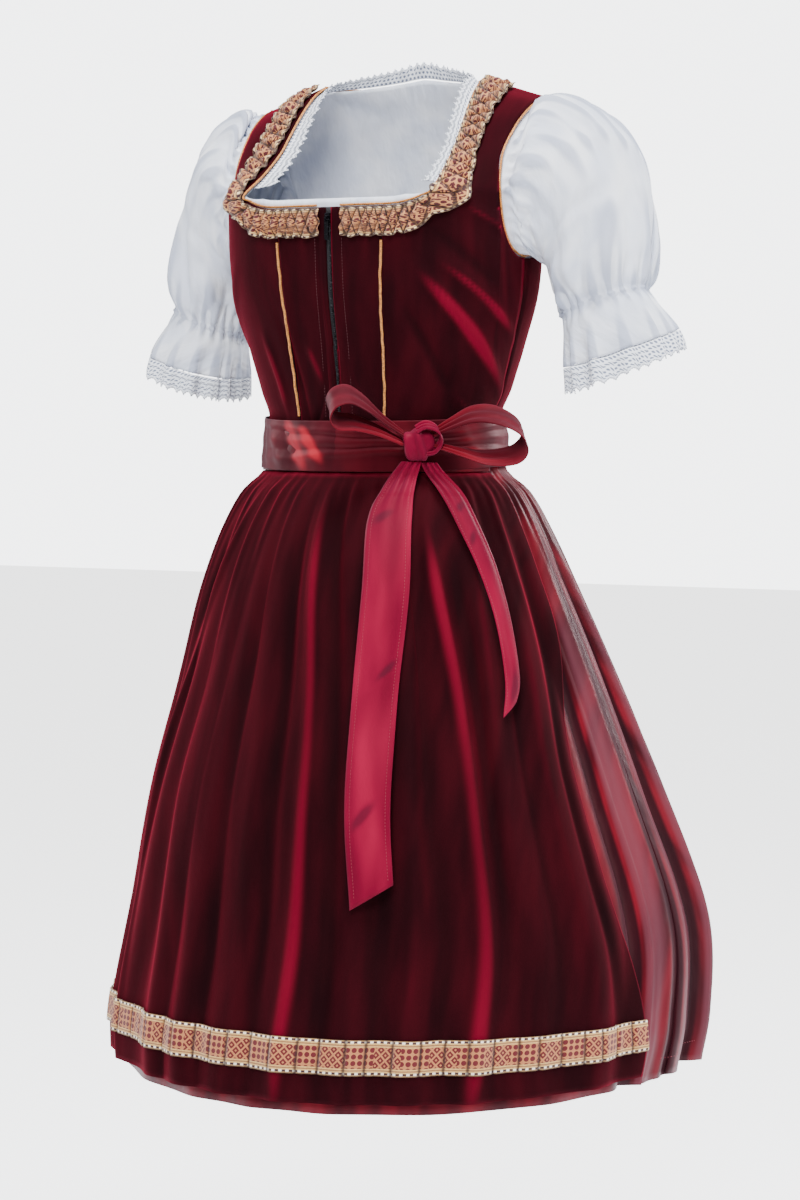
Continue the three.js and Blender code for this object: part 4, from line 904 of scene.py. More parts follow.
def bodiceSidePlace(column, row):
    if row[0] == "strap":
        return front(column, row[1]) if 2 - 1e-9 <= column <= 3 + 1e-9 else None
    top = frontTop(column)
    z = lerp(build["waistZ"], top, row[1])
    point = front(column, z - top) + edgeGap(column, 1, front, z - top, 1)
    return point


def bodiceSideRelief(column, row, side):
    if row[0] == "strap":
        return 0.5 * drift(column * 3, row[1] / 30, side)
    nearEdge = smooth(0, lerp(0.06, 0.24, smooth(2.4, 3, column)), 1 - row[1])
    return bodiceRelief(bodiceSidePlace(column, row), side) * nearEdge * (1 - bell(column - 1, 0.06) * 0.7)


def bodiceBackPlace(column, row):
    if row[0] == "yoke":
        return back(column, row[1]) if abs(column) <= 2 + 1e-9 else None
    top = backTop(abs(column))
    return back(column, lerp(build["waistZ"], top, row[1]) - top)


def bodiceBackRelief(column, row):
    if row[0] == "yoke":
        return 0.5 * drift(column * 3, row[1] / 30, 9)
    point = bodiceBackPlace(column, row)
    nearWaist = 1 - smooth(build["waistZ"], build["waistZ"] + 110, point.z)
    folds = 1.6 * nearWaist * math.sin(point.z / 9 + 2.5 * drift(point.x / 60, 3, point.z / 80))
    seam = -1.2 * bell(point.x, 1.5) - 1.0 * bell(abs(point.x) - lerp(46, 70, row[1]), 1.6)
    return folds + seam + 0.8 * drift(point.x / 45, point.z / 60, 5)


def backColumns(fine):
    half = steps(0, 1, 2 * fine) + steps(1, 2, fine)[1:] + armholeColumns(2, fine)[1:]
    return ([-column for column in half[:0:-1]] + half)[::-1]


def makeBodice():
    velvet, wall = finishes["velvet"], build["velvetWall"]
    strapTop = build["strapLength"] - build["shoulderGap"] / 2
    addPair("bodice_front", velvet, wall, steps(0, 1, 26), steps(0, 1, 70),
            bodiceFrontPlace, bodiceFrontRelief)
    columns = steps(1, 2, 16) + steps(2, 3, 14)[1:] + armholeColumns(3, 14)[1:]
    rows = [("level", level) for level in steps(0, 1, 70)] + [("strap", h)
                                                              for h in steps(0, strapTop, 40)[1:]]
    addPair("bodice_side", velvet, wall, columns, rows,
            bodiceSidePlace, bodiceSideRelief)
    yokeTop = build["yokeHeight"] - build["shoulderGap"] / 2
    rows = [("level", level) for level in steps(0, 1, 70)] + [("yoke", h) for h in steps(0, yokeTop, 30)[1:]]
    addCloth("bodice_back", velvet, wall, backColumns(14), rows,
             bodiceBackPlace, relief=bodiceBackRelief)


def armholePath(reach, out, fine=1):
    turns = steps(0, math.pi / 2, 3 * fine)
    path = [pastEdge(front, 4 - math.cos(turn), 0, 0, 1, reach, out) for turn in turns[:0:-1]]
    strapTop = build["strapLength"] - build["shoulderGap"] / 2
    path += [pastEdge(front, 3, height, 1, 0, reach, out) for height in steps(0, strapTop, 6 * fine)]
    yokeTop = build["yokeHeight"] - build["shoulderGap"] / 2
    path += [pastEdge(back, 2, height, 1, 0, reach, out) for height in steps(0, yokeTop, 4 * fine)[::-1]]
    path += [pastEdge(back, 3 - math.cos(turn), 0, 0, 1, reach, out) for turn in turns[1:]]
    return path


def neckPath(reach):
    strapTop = build["strapLength"] - build["shoulderGap"] / 2
    yokeTop = build["yokeHeight"] - build["shoulderGap"] / 2
    half = [pastEdge(front, column, 0, 0, 1, reach) for column in (0.12, 0.4, 0.7, 1, 1.25, 1.5, 1.75)]
    half.append(pastEdge(front, 2, 0, -0.7, 0.7, reach))
    half += [pastEdge(front, 2, height, -1, 0, reach) for height in steps(0, strapTop, 6)[1:]]
    half.append(pastEdge(back, 1, yokeTop, -1, 0.3, reach + 0.4))
    half += [pastEdge(back, column, yokeTop, 0, 1, reach) for column in (0.8, 0.6, 0.35)]
    centre = pastEdge(back, 0, yokeTop, 0, 1, reach)
    return half + [centre] + [flippedX(point) for point in half[::-1]]


def makePipings():
    reach = build["pipingRadius"] + build["seamGap"]
    addCord("neck_piping_cord", curveThrough(neckPath(reach), 8), build["pipingRadius"], "neck_piping")
    edge = curveThrough(armholePath(reach, 0), 8)
    out = build["velvetWall"] / 2 + build["seamGap"] + 1.6
    heights = steps(build["waistZ"] + 34 - build["neckZ"], -build["ruffleWidth"] - 4, 40)
    wander = [Vector((1.5 * drift(height / 13, 2, 0), 0, 0)) for height in heights]
    seam = [outBy(front, 1, height, out + 0.9) + way for height, way in zip(heights, wander)]
    for side, sign in (("left", 1), ("right", -1)):
        addCord(f"armhole_piping_{side}_cord", [onSide(point, sign) for point in edge], build["pipingRadius"],
                f"armhole_piping_{side}")
        addCord(f"seam_piping_{side}_cord", [onSide(point, sign) for point in seam], build["seamPipingRadius"],
                f"seam_piping_{side}")


def neckEdge(share, start):
    if share < 0.38:
        return lerp(start, 1.55, share / 0.38), 0, 90
    if share < 0.5:
        t = (share - 0.38) / 0.12
        return lerp(1.55, 2, min(1, t * 1.3)), 12 * max(0, t - 0.6), lerp(90, 0, t)
    return 2, lerp(5, build["strapLength"] - 4, (share - 0.5) / 0.5), 0


ruffle = {"puffs": 19, "rise": 6.0, "out": 2.6, "scallop": 2.6, "slant": 0.5, "crumple": 2.6}


def tuckAt(share, width):  # 1 in the bottom of a tuck; the tucks cross each other
    across = width / build["ruffleWidth"] - 0.5
    total = 0
    for slant in (ruffle["slant"], -ruffle["slant"]):
        phase = ruffle["puffs"] * share + slant * across * 2
        total = max(total, bell(abs(phase - math.floor(phase) - 0.5) - 0.5, 0.15))
    return total


def ruffleWander(share):  # the tucks are not evenly spaced
    return 0.22 * drift(share * 9, 2, 7)


def ruffleRise(share, width, start):
    puff = 1 - 0.9 * tuckAt(share + ruffleWander(share) / ruffle["puffs"], width)
    across = width / build["ruffleWidth"]
    edge = 0.55 + 0.45 * math.sin(math.pi * clamp(across)) + 0.2 * across
    crumple = ruffle["crumple"] * (0.5 - 1.8 * abs(drift(share * 34, width / 8, 3 + start)))
    return max(0.2, ruffle["rise"] * puff * edge + crumple)


def rufflePlace(share, width, start):
    column, height, turn = neckEdge(share, start)
    phase = ruffle["puffs"] * share * 0.5 + ruffleWander(share)
    scallop = ruffle["scallop"] * (abs(math.sin(math.pi * phase)) ** 0.5 - 1 + 0.5 * drift(share * 30, 4, 1))
    reach = width + scallop * max(0, width / build["ruffleWidth"] - 0.4) / 0.6
    column += reach * math.cos(turn * degree) / 62
    height -= reach * math.sin(turn * degree)
    return outBy(front, max(column, 0.05), height, ruffle["out"] + ruffleRise(share, width, start))


def makeRuffle():
    for side, sign, start in (("left", 1, 0.17), ("right", -1, 0.06)):
        columns = steps(0, 1, 19 * 18)[::sign]

        def lay(share, width):
            return onSide(rufflePlace(share, width, start), sign)

        # painted shade in the braid's tucks, from how low each point lies
        addCloth(f"neck_ruffle_{side}", finishes["neckBraid"],
                 build["braidWall"] * 0.6, columns, steps(build["ruffleWidth"], 1, 18), lay,
                 shade=lambda share, width: 4.5 * (ruffleRise(share, width, start) - 3.3))


def makeZip():
    out = build["velvetWall"] / 2 + build["seamGap"] + build["tapeWall"] / 2

    def tape(x, z):
        point = torso(math.copysign(angleAtX(abs(x), z), x), z)
        return point + Vector((0, out, 0))

    half = build["zipTapeHalf"]
    addCloth("zip_tape", finishes["zipTape"], build["tapeWall"],
             [-half, -8, -4, -1.5, 0.001, 1.5, 4, 8, half], steps(build["waistZ"], build["neckZ"], 60), tape)
    teeth = {"pitch": 2.2, "size": (1.3, 1.7, 1.4), "apart": 0.75}
    lines = []
    for side, shift in ((1, 0), (-1, teeth["pitch"] / 2)):
        heights = steps(build["neckZ"] - 20 - shift, build["waistZ"] + 30, 80)
        lines.append([torso(0.001, z) + Vector((side * teeth["apart"], -0.3, 0)) for z in heights])
    addBeads("zip_teeth", lines, "zipMetal", teeth["pitch"], teeth["size"], "block")
    for name in ("zip_slider", "zip_pull"):
        node = frame["nodes"][name]
        node.data.materials.clear()
        node.data.materials.append(finishes["zipMetal"]["material"])
    heights = steps(build["waistZ"] + 34, build["neckZ"] - 34, 30)
    for side, sign in (("left", 1), ("right", -1)):
        line = [torso(sign * angleAtX(16.5, z), z) + Vector((0, -1.4, 0)) for z in heights]
        addBeads(f"placket_stitches_{side}", [line], "darkThread", size=(2.3, 0.7, 0.7))


blouseOut = -(build["velvetWall"] / 2 + build["seamGap"] + build["tapeWall"] + build["seamGap"]
              + build["cottonWall"] / 2 + 0.6)
armholeInset = 4.2


def blouseFrontPoint(column, height):
    share, side = abs(column), (-1 if column < 0 else 1)
    if height > 0:
        return pastEdge(front, column, height, side, 0, armholeInset * (share - 2), blouseOut)
    nearTop = clamp(1 + height / 40)
    if share > 3:
        return pastEdge(front, column, height, 0, 1, armholeInset * nearTop, blouseOut)
    lift = 9 * clamp(2 - share, 0, 0.6) / 0.6 * nearTop
    point = pastEdge(front, column, height, side, 0, armholeInset * clamp(share - 2) * nearTop, blouseOut)
    return point + Vector((0, 0, lift))


def blouseFrontPlace(column, row):
    share = abs(column)
    if row[0] == "strap":
        return blouseFrontPoint(column, row[1]) if 2 - 1e-9 <= share <= 3 + 1e-9 else None
    top = frontTop(share)
    point = blouseFrontPoint(column, lerp(build["neckZ"] - build["blouseLength"], top, row[1]) - top)
    return point + Vector((0, 1.6 if share > 3.999 else 0, 0))  # the side seam is closed over the back


def neckRise(share, height):
    return 22 * max(0, 1 - share ** 1.15) ** 0.8 * clamp(height / build["yokeHeight"]) ** 2


def blouseBackPlace(column, row):
    share, side = abs(column), (-1 if column < 0 else 1)
    if row[0] == "yoke":
        if share > 2 + 1e-9:
            return None
        height = row[1]
    else:
        top = backTop(share)
        height = lerp(build["neckZ"] - build["blouseLength"], top, row[1]) - top
    nearTop = 1 if height > 0 else clamp(1 + height / 40)
    reach = armholeInset * clamp(share - 1) * nearTop
    across, up = (0, 1) if share > 2 and height <= 0 else (side, 0)
    return pastEdge(back, column, height + neckRise(share, height), across, up, reach, blouseOut)


def makeBlouse():
    cotton, wall = finishes["cotton"], build["cottonWall"]
    half = steps(0, 2, 40) + steps(2, 3, 10)[1:] + armholeColumns(3, 10)[1:]
    columns = [-column for column in half[:0:-1]] + half
    rows = [("level", level) for level in steps(0, 1, 30)]
    rows += [("strap", h) for h in steps(0, build["strapLength"] - build["blouseShoulderGap"] / 2, 30)[1:]]

    def gathers(column, row):
        nearTop = smooth(0.7, 1, row[1]) if row[0] == "level" else 0.15
        return 0.7 * nearTop * math.sin(46 * column + 2 * drift(column * 2, 1, 0)) * (abs(column) < 2)

    addCloth("blouse_front", cotton, wall, columns, rows,
             blouseFrontPlace,
             relief=gathers)
    rows = [("level", level) for level in steps(0, 1, 30)]
    rows += [("yoke", h) for h in steps(0, build["yokeHeight"] - build["blouseShoulderGap"] / 2, 30)[1:]]

    def creases(column, row):
        high = row[1] / build["yokeHeight"] if row[0] == "yoke" else 0
        return -0.8 * high * abs(math.sin(26 * column + 2 * drift(column * 2, 5, 0)))

    addCloth("blouse_back", cotton, wall, backColumns(14), rows,
             blouseBackPlace,
             relief=creases)


sleeveRings = tableOf(
    "k upperX upperZ underX underZ y deep lean",
    (0, 190, -24, 183, -194, -18, 65, 14), (1, 236, -40, 184, -200, -2, 76, 10),
    (2, 267, -82, 185, -209, 12, 80, 4),
    (3, 282, -132, 187, -221, 14, 79, 0), (4, 292, -180, 191, -236, 6, 71, 0),
    (5, 293, -216, 200, -251, -2, 55, 0),
    (6, 291, -232, 206, -262, -5, 44, 0), (7, 301, -245, 206, -275, -4, 50, 0),
    (8, 318, -270, 209, -300, -3, 60, 0),
    (9, 327, -290, 211, -325, -1, 64, 0), (10, 330, -301, 212, -337, -1, 66, 0))
sleeveFits = {"left": {"narrower": 0, "drop": -5, "tilt": 15}, "right": {"narrower": 6, "drop": 9, "tilt": 3}}
sleeve = {"columns": 240, "run": 13, "headGathers": 30, "cuffGathers": 26, "elasticGathers": 60,
          "laceFrom": 8.45}
armholeCentre = Vector((170, -34, -108))
sleeveRoot = evenPoints(armholePath(armholeInset - 0.3, blouseOut, 4)[:-1],
                        sleeve["columns"], closed=True)


def ringPoint(k, column, fit):
    ring = rowAt(sleeveRings, "k", k)
    share = clamp((-40 - ring["upperZ"]) / 200)
    root = sleeveRoot[column]
    angle = math.atan2(armholeCentre.y - root.y, root.z - armholeCentre.z)
    upper = Vector((ring["upperX"] - fit["narrower"] * share, ring["y"],
                    ring["upperZ"] - fit["drop"] * share))
    under = Vector((ring["underX"] + fit["narrower"] * share, ring["y"],
                    ring["underZ"] - fit["drop"] * share))
    middle = (upper + under) / 2
    point = middle + (upper - middle) * math.cos(angle)
    lower = fit["tilt"] * math.sin(angle) * smooth(6.2, 9.6, k)  # the cuff hangs lower in front
    return point + Vector((0, ring["lean"] * math.cos(angle) - ring["deep"] * math.sin(angle), -lower))


def sleevePlace(column, k, fit):
    if k >= 1:
        return ringPoint(k, column, fit)
    anchors = [sleeveRoot[column], sleeveRoot[column] + Vector((sleeve["run"], 0, 0)),
               ringPoint(0, column, fit), ringPoint(1, column, fit), ringPoint(2, column, fit)]
    span = int(clamp(math.floor(k + 2), 0, 2))
    return splineAt(anchors[max(span - 1, 0)], anchors[span], anchors[span + 1], anchors[span + 2],
                    k + 2 - span)


# creases of a sleeve: along counts the columns from the front of the underarm, up is 22 times the ring
sleeveCreases = tableOf(
    "along1 up1 along2 up2 width height",
    (24, -30, 52, 40, 4, 3.2), (44, -34, 66, 26, 3.6, -3.2), (58, -36, 84, 34, 4, 3.4),
    (76, -34, 96, 20, 3.6, -3.2),
    (92, -34, 118, 30, 4.2, 3.4), (108, -30, 128, 12, 3.6, -2.8), (16, 118, 36, 60, 4.4, 3.4),
    (34, 120, 46, 66, 3.6, -3.4), (50, 120, 70, 50, 4.2, 3.6), (66, 120, 78, 62, 3.6, -3.4),
    (82, 120, 92, 48, 4.4, 3.6), (98, 120, 104, 60, 3.6, -3.2), (114, 118, 126, 56, 4.2, 3.2),
    (136, 118, 146, 60, 4, -3), (152, 118, 164, 50, 4.4, 3), (176, 118, 184, 58, 4, -3),
    (30, 44, 84, 60, 5, 2.2), (70, 26, 120, 52, 5, -2.0), (200, 118, 206, 50, 4.4, 3),
    (140, -30, 150, 30, 4, 3),
    (160, -28, 172, 24, 4, -3), (184, -28, 190, 24, 4, 3))


def sleeveGathers(column, k):
    turn = 2 * math.pi * column / sleeve["columns"]
    around = (math.cos(turn), math.sin(turn))
    wander = 2.2 * drift(2 * around[0], 2 * around[1], k / 3)
    head = smooth(-1.9, -1.2, k) * (1 - smooth(0.2, 3.2, k)) * (0.35 + 0.65 * max(0, -around[0]))
    total = 3.0 * head * math.sin(sleeve["headGathers"] * turn + wander)
    low = smooth(3.4, 5.6, k) * (1 - smooth(6.2, 7.4, k))
    total += 2.6 * low * math.sin(sleeve["cuffGathers"] * turn + 1.6 * wander)
    total += 0.9 * bell(k - 6, 0.35) * math.sin(sleeve["elasticGathers"] * turn) - 1.6 * bell(k - 6, 0.16)
    flare = 4.4 * smooth(6.6, 9, k)  # the cuff's own waves
    return total + flare * math.sin(0.62 * sleeve["cuffGathers"] * turn
                                    + 2 * drift(3 * around[0], 3 * around[1], 8))


def sleeveRelief(column, k):
    turn = 2 * math.pi * column / sleeve["columns"]
    soft = smooth(-1, 1.5, k) * (1 - smooth(5, 7, k))
    total = sleeveGathers(column, k) + 1.5 * creased(sleeveCreases, column, 22 * k)
    total += 5.5 * soft * drift(3.1 * math.cos(turn), 3.1 * math.sin(turn), k / 1.6)
    return total * smooth(-2, -1.6, k)


# painted shade in the sleeve's gathers and creases, with soft painted shade blotches on the puff
def sleeveShade(column, k):
    turn = 2 * math.pi * column / sleeve["columns"]
    soft = smooth(-1, 1.5, k) * (1 - smooth(4, 6, k))
    total = 2.6 * sleeveGathers(column, k) + 1.6 * creased(sleeveCreases, column, 22 * k)
    return total + 4.5 * soft * drift(2.2 * math.cos(turn), 2.2 * math.sin(turn), k / 1.4) - 0.8 * soft


def makeSleeves():
    columns = list(range(sleeve["columns"]))
    for side, sign in (("left", 1), ("right", -1)):
        fit = sleeveFits[side]
        order = columns[::sign]

        def lay(column, k):
            return onSide(sleevePlace(column, k, fit), sign)

        rows = steps(-2, 0, 10) + steps(0, sleeve["laceFrom"], 74)[1:]
        addCloth(f"sleeve_{side}", finishes["cotton"],
                 build["cottonWall"],
                 order, rows, lay, closed=True, relief=sleeveRelief, shade=sleeveShade)

        def layLace(column, share):
            scallop = 1 - 0.24 * abs(math.sin(math.pi * column / 5))
            k = sleeve["laceFrom"] + 0.05 + share * scallop * 1.6
            return onSide(ringPoint(k, column, fit), sign)

        laceRows, stitchRow = 6, len(rows) - 3
        addCloth(f"cuff_lace_{side}", finishes["lace"],
                 build["laceWall"] * 0.8, order, steps(0, 1, laceRows), layLace, closed=True,
                 relief=lambda column, share: sleeveRelief(column, sleeve["laceFrom"]))
        base = bpy.data.objects[f"cuff_lace_{side}_cloth"].data
        count = sleeve["columns"]
        lastRow = [base.vertices[2 * (laceRows * count + i)].co / mm for i in range(count)]
        addBeads(f"cuff_picots_{side}", [lastRow + [lastRow[0]]], "lace", 3.1, (1.7, 1.5, 1.5))
        cuff = bpy.data.objects[f"sleeve_{side}_cloth"].data
        seamRow = [cuff.vertices[2 * (stitchRow * count + i)].co / mm for i in range(count)]
        addBeads(f"cuff_stitches_{side}", [seamRow + [seamRow[0]]], "whiteThread", 2.8, (1.9, 0.6, 0.6))


def makeNeckLace():
    start = build["laceWall"] / 2 + build["seamGap"] + 0.5
    neckTop = build["yokeHeight"] - build["blouseShoulderGap"] / 2
    inner, outer = [], []
    for height in (14, 35, 60, 85, 110, 135, 155):
        width = lerp(build["neckLaceWidth"] + 7, 17, height / build["strapLength"])
        inner.append(pastEdge(front, 2, height, -1, 0.05, start, blouseOut))
        far = pastEdge(front, 2, height, -1, 0.05, start + width, blouseOut)
        outer.append(far + Vector((0, 0, width * 0.35)))
    for column in (0.9, 0.75, 0.55, 0.3, 0):
        height = neckTop + neckRise(column, neckTop)
        width = lerp(build["neckLaceWidth"], 12, column)
        inner.append(pastEdge(back, column, height, 0, 1, start, blouseOut))
        outer.append(pastEdge(back, column, height, 0, 1, start + width, blouseOut))
    inner += [flippedX(point) for point in inner[-2::-1]]
    outer += [flippedX(point) for point in outer[-2::-1]]
    innerLine, outerLine = curveThrough(inner, 16), curveThrough(outer, 16)

    def lay(column, share):
        scallop = 1 - 0.22 * abs(math.sin(math.pi * column / 5)) * share
        return innerLine[column].lerp(outerLine[column], share * scallop)

    def wave(column, share):
        return 1.3 * share * math.sin(2 * math.pi * column / 12) + 0.5 * share * drift(column / 9, 3, 1)

    columns, rows = list(range(len(innerLine))), 8
    piece = addCloth("neck_lace", finishes["lace"],
                     build["laceWall"] * 0.8,
                     columns, steps(0, 1, rows), lay, relief=wave)
    top = [piece.data.vertices[2 * (rows * len(columns) + i)].co / mm for i in columns]
    addBeads("neck_picots", [top], "lace", 3.0, (1.7, 1.5, 1.5))


skirtSections = tableOf(
    "z centreY halfWidth halfDepth foldDepth apronDepth",
    (-1075, 3, 328, 320, 17, 11), (-1017, 11, 334, 322, 16, 11), (-906, 27, 325, 311, 15, 12),
    (-763, 3, 286, 268, 14, 12), (-634, -14, 243, 219, 12, 11), (-542, -30, 210, 183, 9, 9),
    (-486, -36, 187, 156, 6, 6), (-443, -39, 163, 126, 3, 3), (-421, -42, 141, 102, 1.6, 0.6),
    (-397, -42, 138, 99, 1, 0.4))
apron = {"span": 80 * degree, "gap": 3.4, "hemRise": 13, "gathers": 64}
apronFolds = tableOf(
    "top hem spread",
    (-80, -80, 5), (-62, -66, 5), (-48, -55, 5), (-35, -43, 4.5), (-26, -28, 4), (-17, -19, 4), (-8, -8, 4.5),
    (2.5, 5.5, 5), (15, 17, 4), (27, 29, 4), (39, 41, 5), (52, 52, 4.5), (65, 65, 5), (80, 80, 5))
# smaller folds of the apron: degrees at the waist, half way and at the hem, and where each starts and ends
apronRidges = tableOf(
    "top middle hem width height start end",
    (-35, -49, -44, 1.6, 4.6, 0.02, 1.1), (2.5, 6.5, 5, 1.9, 6.5, 0.02, 1.1),
    (33.5, 30, 27.5, 2.0, 3.5, 0.05, 1.0),
    (39, 43.5, 41, 2.2, 6.5, 0.05, 1.1), (54.5, 51, 47, 2.2, 3.5, 0.1, 1.0),
    (-20, -22, -18, 2.4, 2.4, 0.3, 1.1),
    (-29, -31, -27, 2.4, 2.8, 0.4, 1.1), (-9, -6, -4, 2.2, 2.4, 0.35, 1.1), (64, 66, 66, 2.6, 3.0, 0.2, 1.1),
    (10, 13, 12, 2.6, -4.5, 0.05, 1.0), (22, 21, 20, 3.4, -4.0, 0.05, 0.9),
    (-4, -1, -1, 2.2, -3.5, 0.05, 0.9),
    (47, 49, 48, 2.2, -4.0, 0.1, 1.0), (-41, -55, -51, 2.4, -4.0, 0.05, 1.0),
    (-14, -15, -13, 2.4, -2.6, 0.2, 1.0),
    (-58, -63, -64, 1.7, 3.6, -0.1, 0.4), (-50, -55, -56, 1.4, 3.2, -0.1, 0.34),
    (-42, -47, -48, 1.5, 3.2, -0.1, 0.3),
    (-28, -33, -34, 1.6, 3.2, -0.1, 0.34), (-21, -24, -25, 1.3, 2.6, -0.1, 0.24),
    (-12, -13, -13, 1.7, 2.4, -0.1, 0.28),
    (12, 12, 12, 1.4, 2.4, -0.1, 0.2), (20, 19, 19, 1.6, 2.6, -0.1, 0.26), (58, 60, 60, 1.6, 2.8, -0.1, 0.3),
    (68, 70, 70, 1.6, 2.8, -0.1, 0.34), (-68, -72, -73, 1.8, 3.0, -0.1, 0.4),
    (-56, -61, -62, 2.6, 2.6, 0.1, 1.0), (74, 73, 72, 2.2, -3.4, 0.1, 1.0),
    (60, 59, 57, 2.0, -2.6, 0.15, 1.0))
skirtPleats = tableOf(
    "angle width height",
    (72.5, 1.6, 2), (77, 2.8, -9), (83, 2.2, 8), (89, 2.2, -7), (95, 2.4, 6), (100, 1.6, -5), (106, 2.2, 5),
    (112, 1.8, -5), (118, 2.2, 5), (125, 2.4, -4), (133, 2.2, 4), (142, 2.6, -4), (152, 2.4, 4),
    (163, 2.8, -4),
    (174, 2.4, 4))


def around(section, angle, inset):
    return Vector(((section["halfWidth"] - inset) * math.sin(angle),
                   section["centreY"] - (section["halfDepth"] - inset) * math.cos(angle), section["z"]))


def settled(angle, z):
    return z + apron["hemRise"] * min(1.15, 1 - math.cos(angle)) * clamp((-950 - z) / 120)


def sectionAt(angle, z):
    section = rowAt(skirtSections, "z", z)
    section["z"] = settled(angle, z)
    return section


def apronInset(angle, section):
    fall = clamp((section["z"] - build["bandLowerZ"]) / (build["apronHemZ"] - build["bandLowerZ"]))
    ridge = 0
    for fold in apronFolds:
        away = abs(angle / degree - lerp(fold["top"], fold["hem"], fall)) / fold["spread"]
        if away < 1.7:
            strength = 0.86 + 0.3 * drift(fold["top"] / 7, fall * 2.4, 3)
            ridge = max(ridge, strength * math.cos(away / 1.7 * math.pi / 2) ** 2)
    evenness = 0.55 + 0.6 * drift(angle * 2.6, fall * 1.3, 9)
    return section["apronDepth"] * (1 - ridge) * clamp(evenness, 0.3, 1)


def apronRelief(angle, z):
    fall = clamp((z - build["bandLowerZ"]) / (build["apronHemZ"] - build["bandLowerZ"]))
    here = angle / degree
    total = 0
    for ridge in apronRidges:
        if fall < 0.5:
            centre = lerp(ridge["top"], ridge["middle"], smooth(0, 0.5, fall))
        else:
            centre = lerp(ridge["middle"], ridge["hem"], smooth(0.5, 1, fall))
        away = abs(here - centre)
        if away < 3 * ridge["width"]:
            fade = smooth(ridge["start"] - 0.05, ridge["start"] + 0.15, fall)
            fade *= 1 - smooth(ridge["end"] - 0.2, ridge["end"] + 0.05, fall)
            total += ridge["height"] * fade * bell(away, ridge["width"])
    wander = 1.5 * drift(here / 9, fall * 3, 2)
    total += 0.9 * bell(fall, 0.05) * math.sin(apron["gathers"] * angle + wander * 2)
    total += 1.6 * smooth(0.03, 0.2, fall) * drift(here / 6.5, fall * 1.7, 6)
    return total * smooth(0, 0.05, fall)


def edgedIn(angle, z):  # half way down the apron's edges are drawn in by the weight of its folds
    most = 9.5 if angle > 0 else 6
    amount = smooth(-540, -740, z) * (1 - 0.85 * smooth(-830, -1045, z))
    return angle - math.copysign(most * degree * amount * (abs(angle) / apron["span"]) ** 4, angle)


# painted light on the apron: highlights on its ridges and shade in its pleat valleys
def apronShade(angle, z):
    return 0.8 * apronRelief(angle, z) - 0.42 * apronInset(angle, sectionAt(angle, z)) + 0.3


def apronPlace(angle, z, out=0.0):
    angle = edgedIn(angle, z)
    section = sectionAt(angle, z)
    return around(section, angle, apronInset(angle, section) - out)


def skirtPlace(angle, z):
    section = sectionAt(angle, z)
    turned = (angle + math.pi) % (2 * math.pi) - math.pi
    covered = 1 - smooth(78 * degree, 92 * degree, abs(turned))
    phase = 20 * angle + 0.9 * math.sin(3 * angle + 1) + 0.7 * math.sin(5 * angle)
    valley = (0.5 - 0.5 * math.cos(phase)) ** 0.8 * section["foldDepth"]
    under = section["apronDepth"] + apron["gap"] + 0.25 * valley
    return around(section, angle, lerp(valley, under, covered))


def pleatAt(turns):  # 0 to 1: a slow rise and a crisp fall
    share = turns - math.floor(turns)
    return smooth(0, 0.84, share) * (1 - smooth(0.86, 1, share))


def skirtRelief(angle, z):
    turned = (angle + math.pi) % (2 * math.pi) - math.pi
    fall = clamp((z - build["bandLowerZ"]) / (build["hemZ"] - build["bandLowerZ"]))
    here = abs(turned) / degree
    free = smooth(70, 77, here)
    gathers = 1.3 * bell(fall, 0.1) * math.sin(110 * angle + 2 * drift(angle * 5, 1, 1))
    wander = 2.2 * drift(3 * math.sin(turned), 3 * math.cos(turned), fall * 0.9)
    crisp = 4.2 * (pleatAt(here / 6.3 + 0.35 * wander) - 0.5)
    placed = 0
    for pleat in skirtPleats:
        away = abs(here - pleat["angle"] - 1.2 * math.sin(2.2 * fall + pleat["angle"]))
        if away < 3 * pleat["width"]:
            placed += pleat["height"] * bell(away, pleat["width"])
    lower = smooth(0.02, 0.3, fall)
    total = gathers + (crisp * (0.4 + 0.6 * fall) + placed * (0.35 + 0.65 * fall)) * lower
    return free * (total + 1.8 * drift(angle * 14, fall * 2.5, 7)) * smooth(0, 0.04, fall)


def makeSkirt():
    rows = steps(build["hemZ"], build["waistZ"] - 0.5, 84)
    for name, start in (("skirt_front", -math.pi / 2), ("skirt_back", math.pi / 2)):
        columns = steps(start, start + math.pi, 290)
        # the shade paints highlights on the pleats' ridges and shade in their valleys
        addCloth(name, finishes["skirt"], build["taffetaWall"],
                 columns, rows,
                 skirtPlace, relief=skirtRelief, shade=lambda angle, z: 1.8 * skirtRelief(angle, z) - 0.8)
    line = [skirtPlace(angle, build["hemZ"] + 24) for angle in steps(-math.pi, math.pi, 360)]
    outward = [Vector((math.sin(a), -math.cos(a), 0)) * 1.1 for a in steps(-math.pi, math.pi, 360)]
    addBeads("skirt_hem_stitches", [[p + o for p, o in zip(line, outward)]], "redThread", 4.2,
             (2.6, 0.6, 0.6))


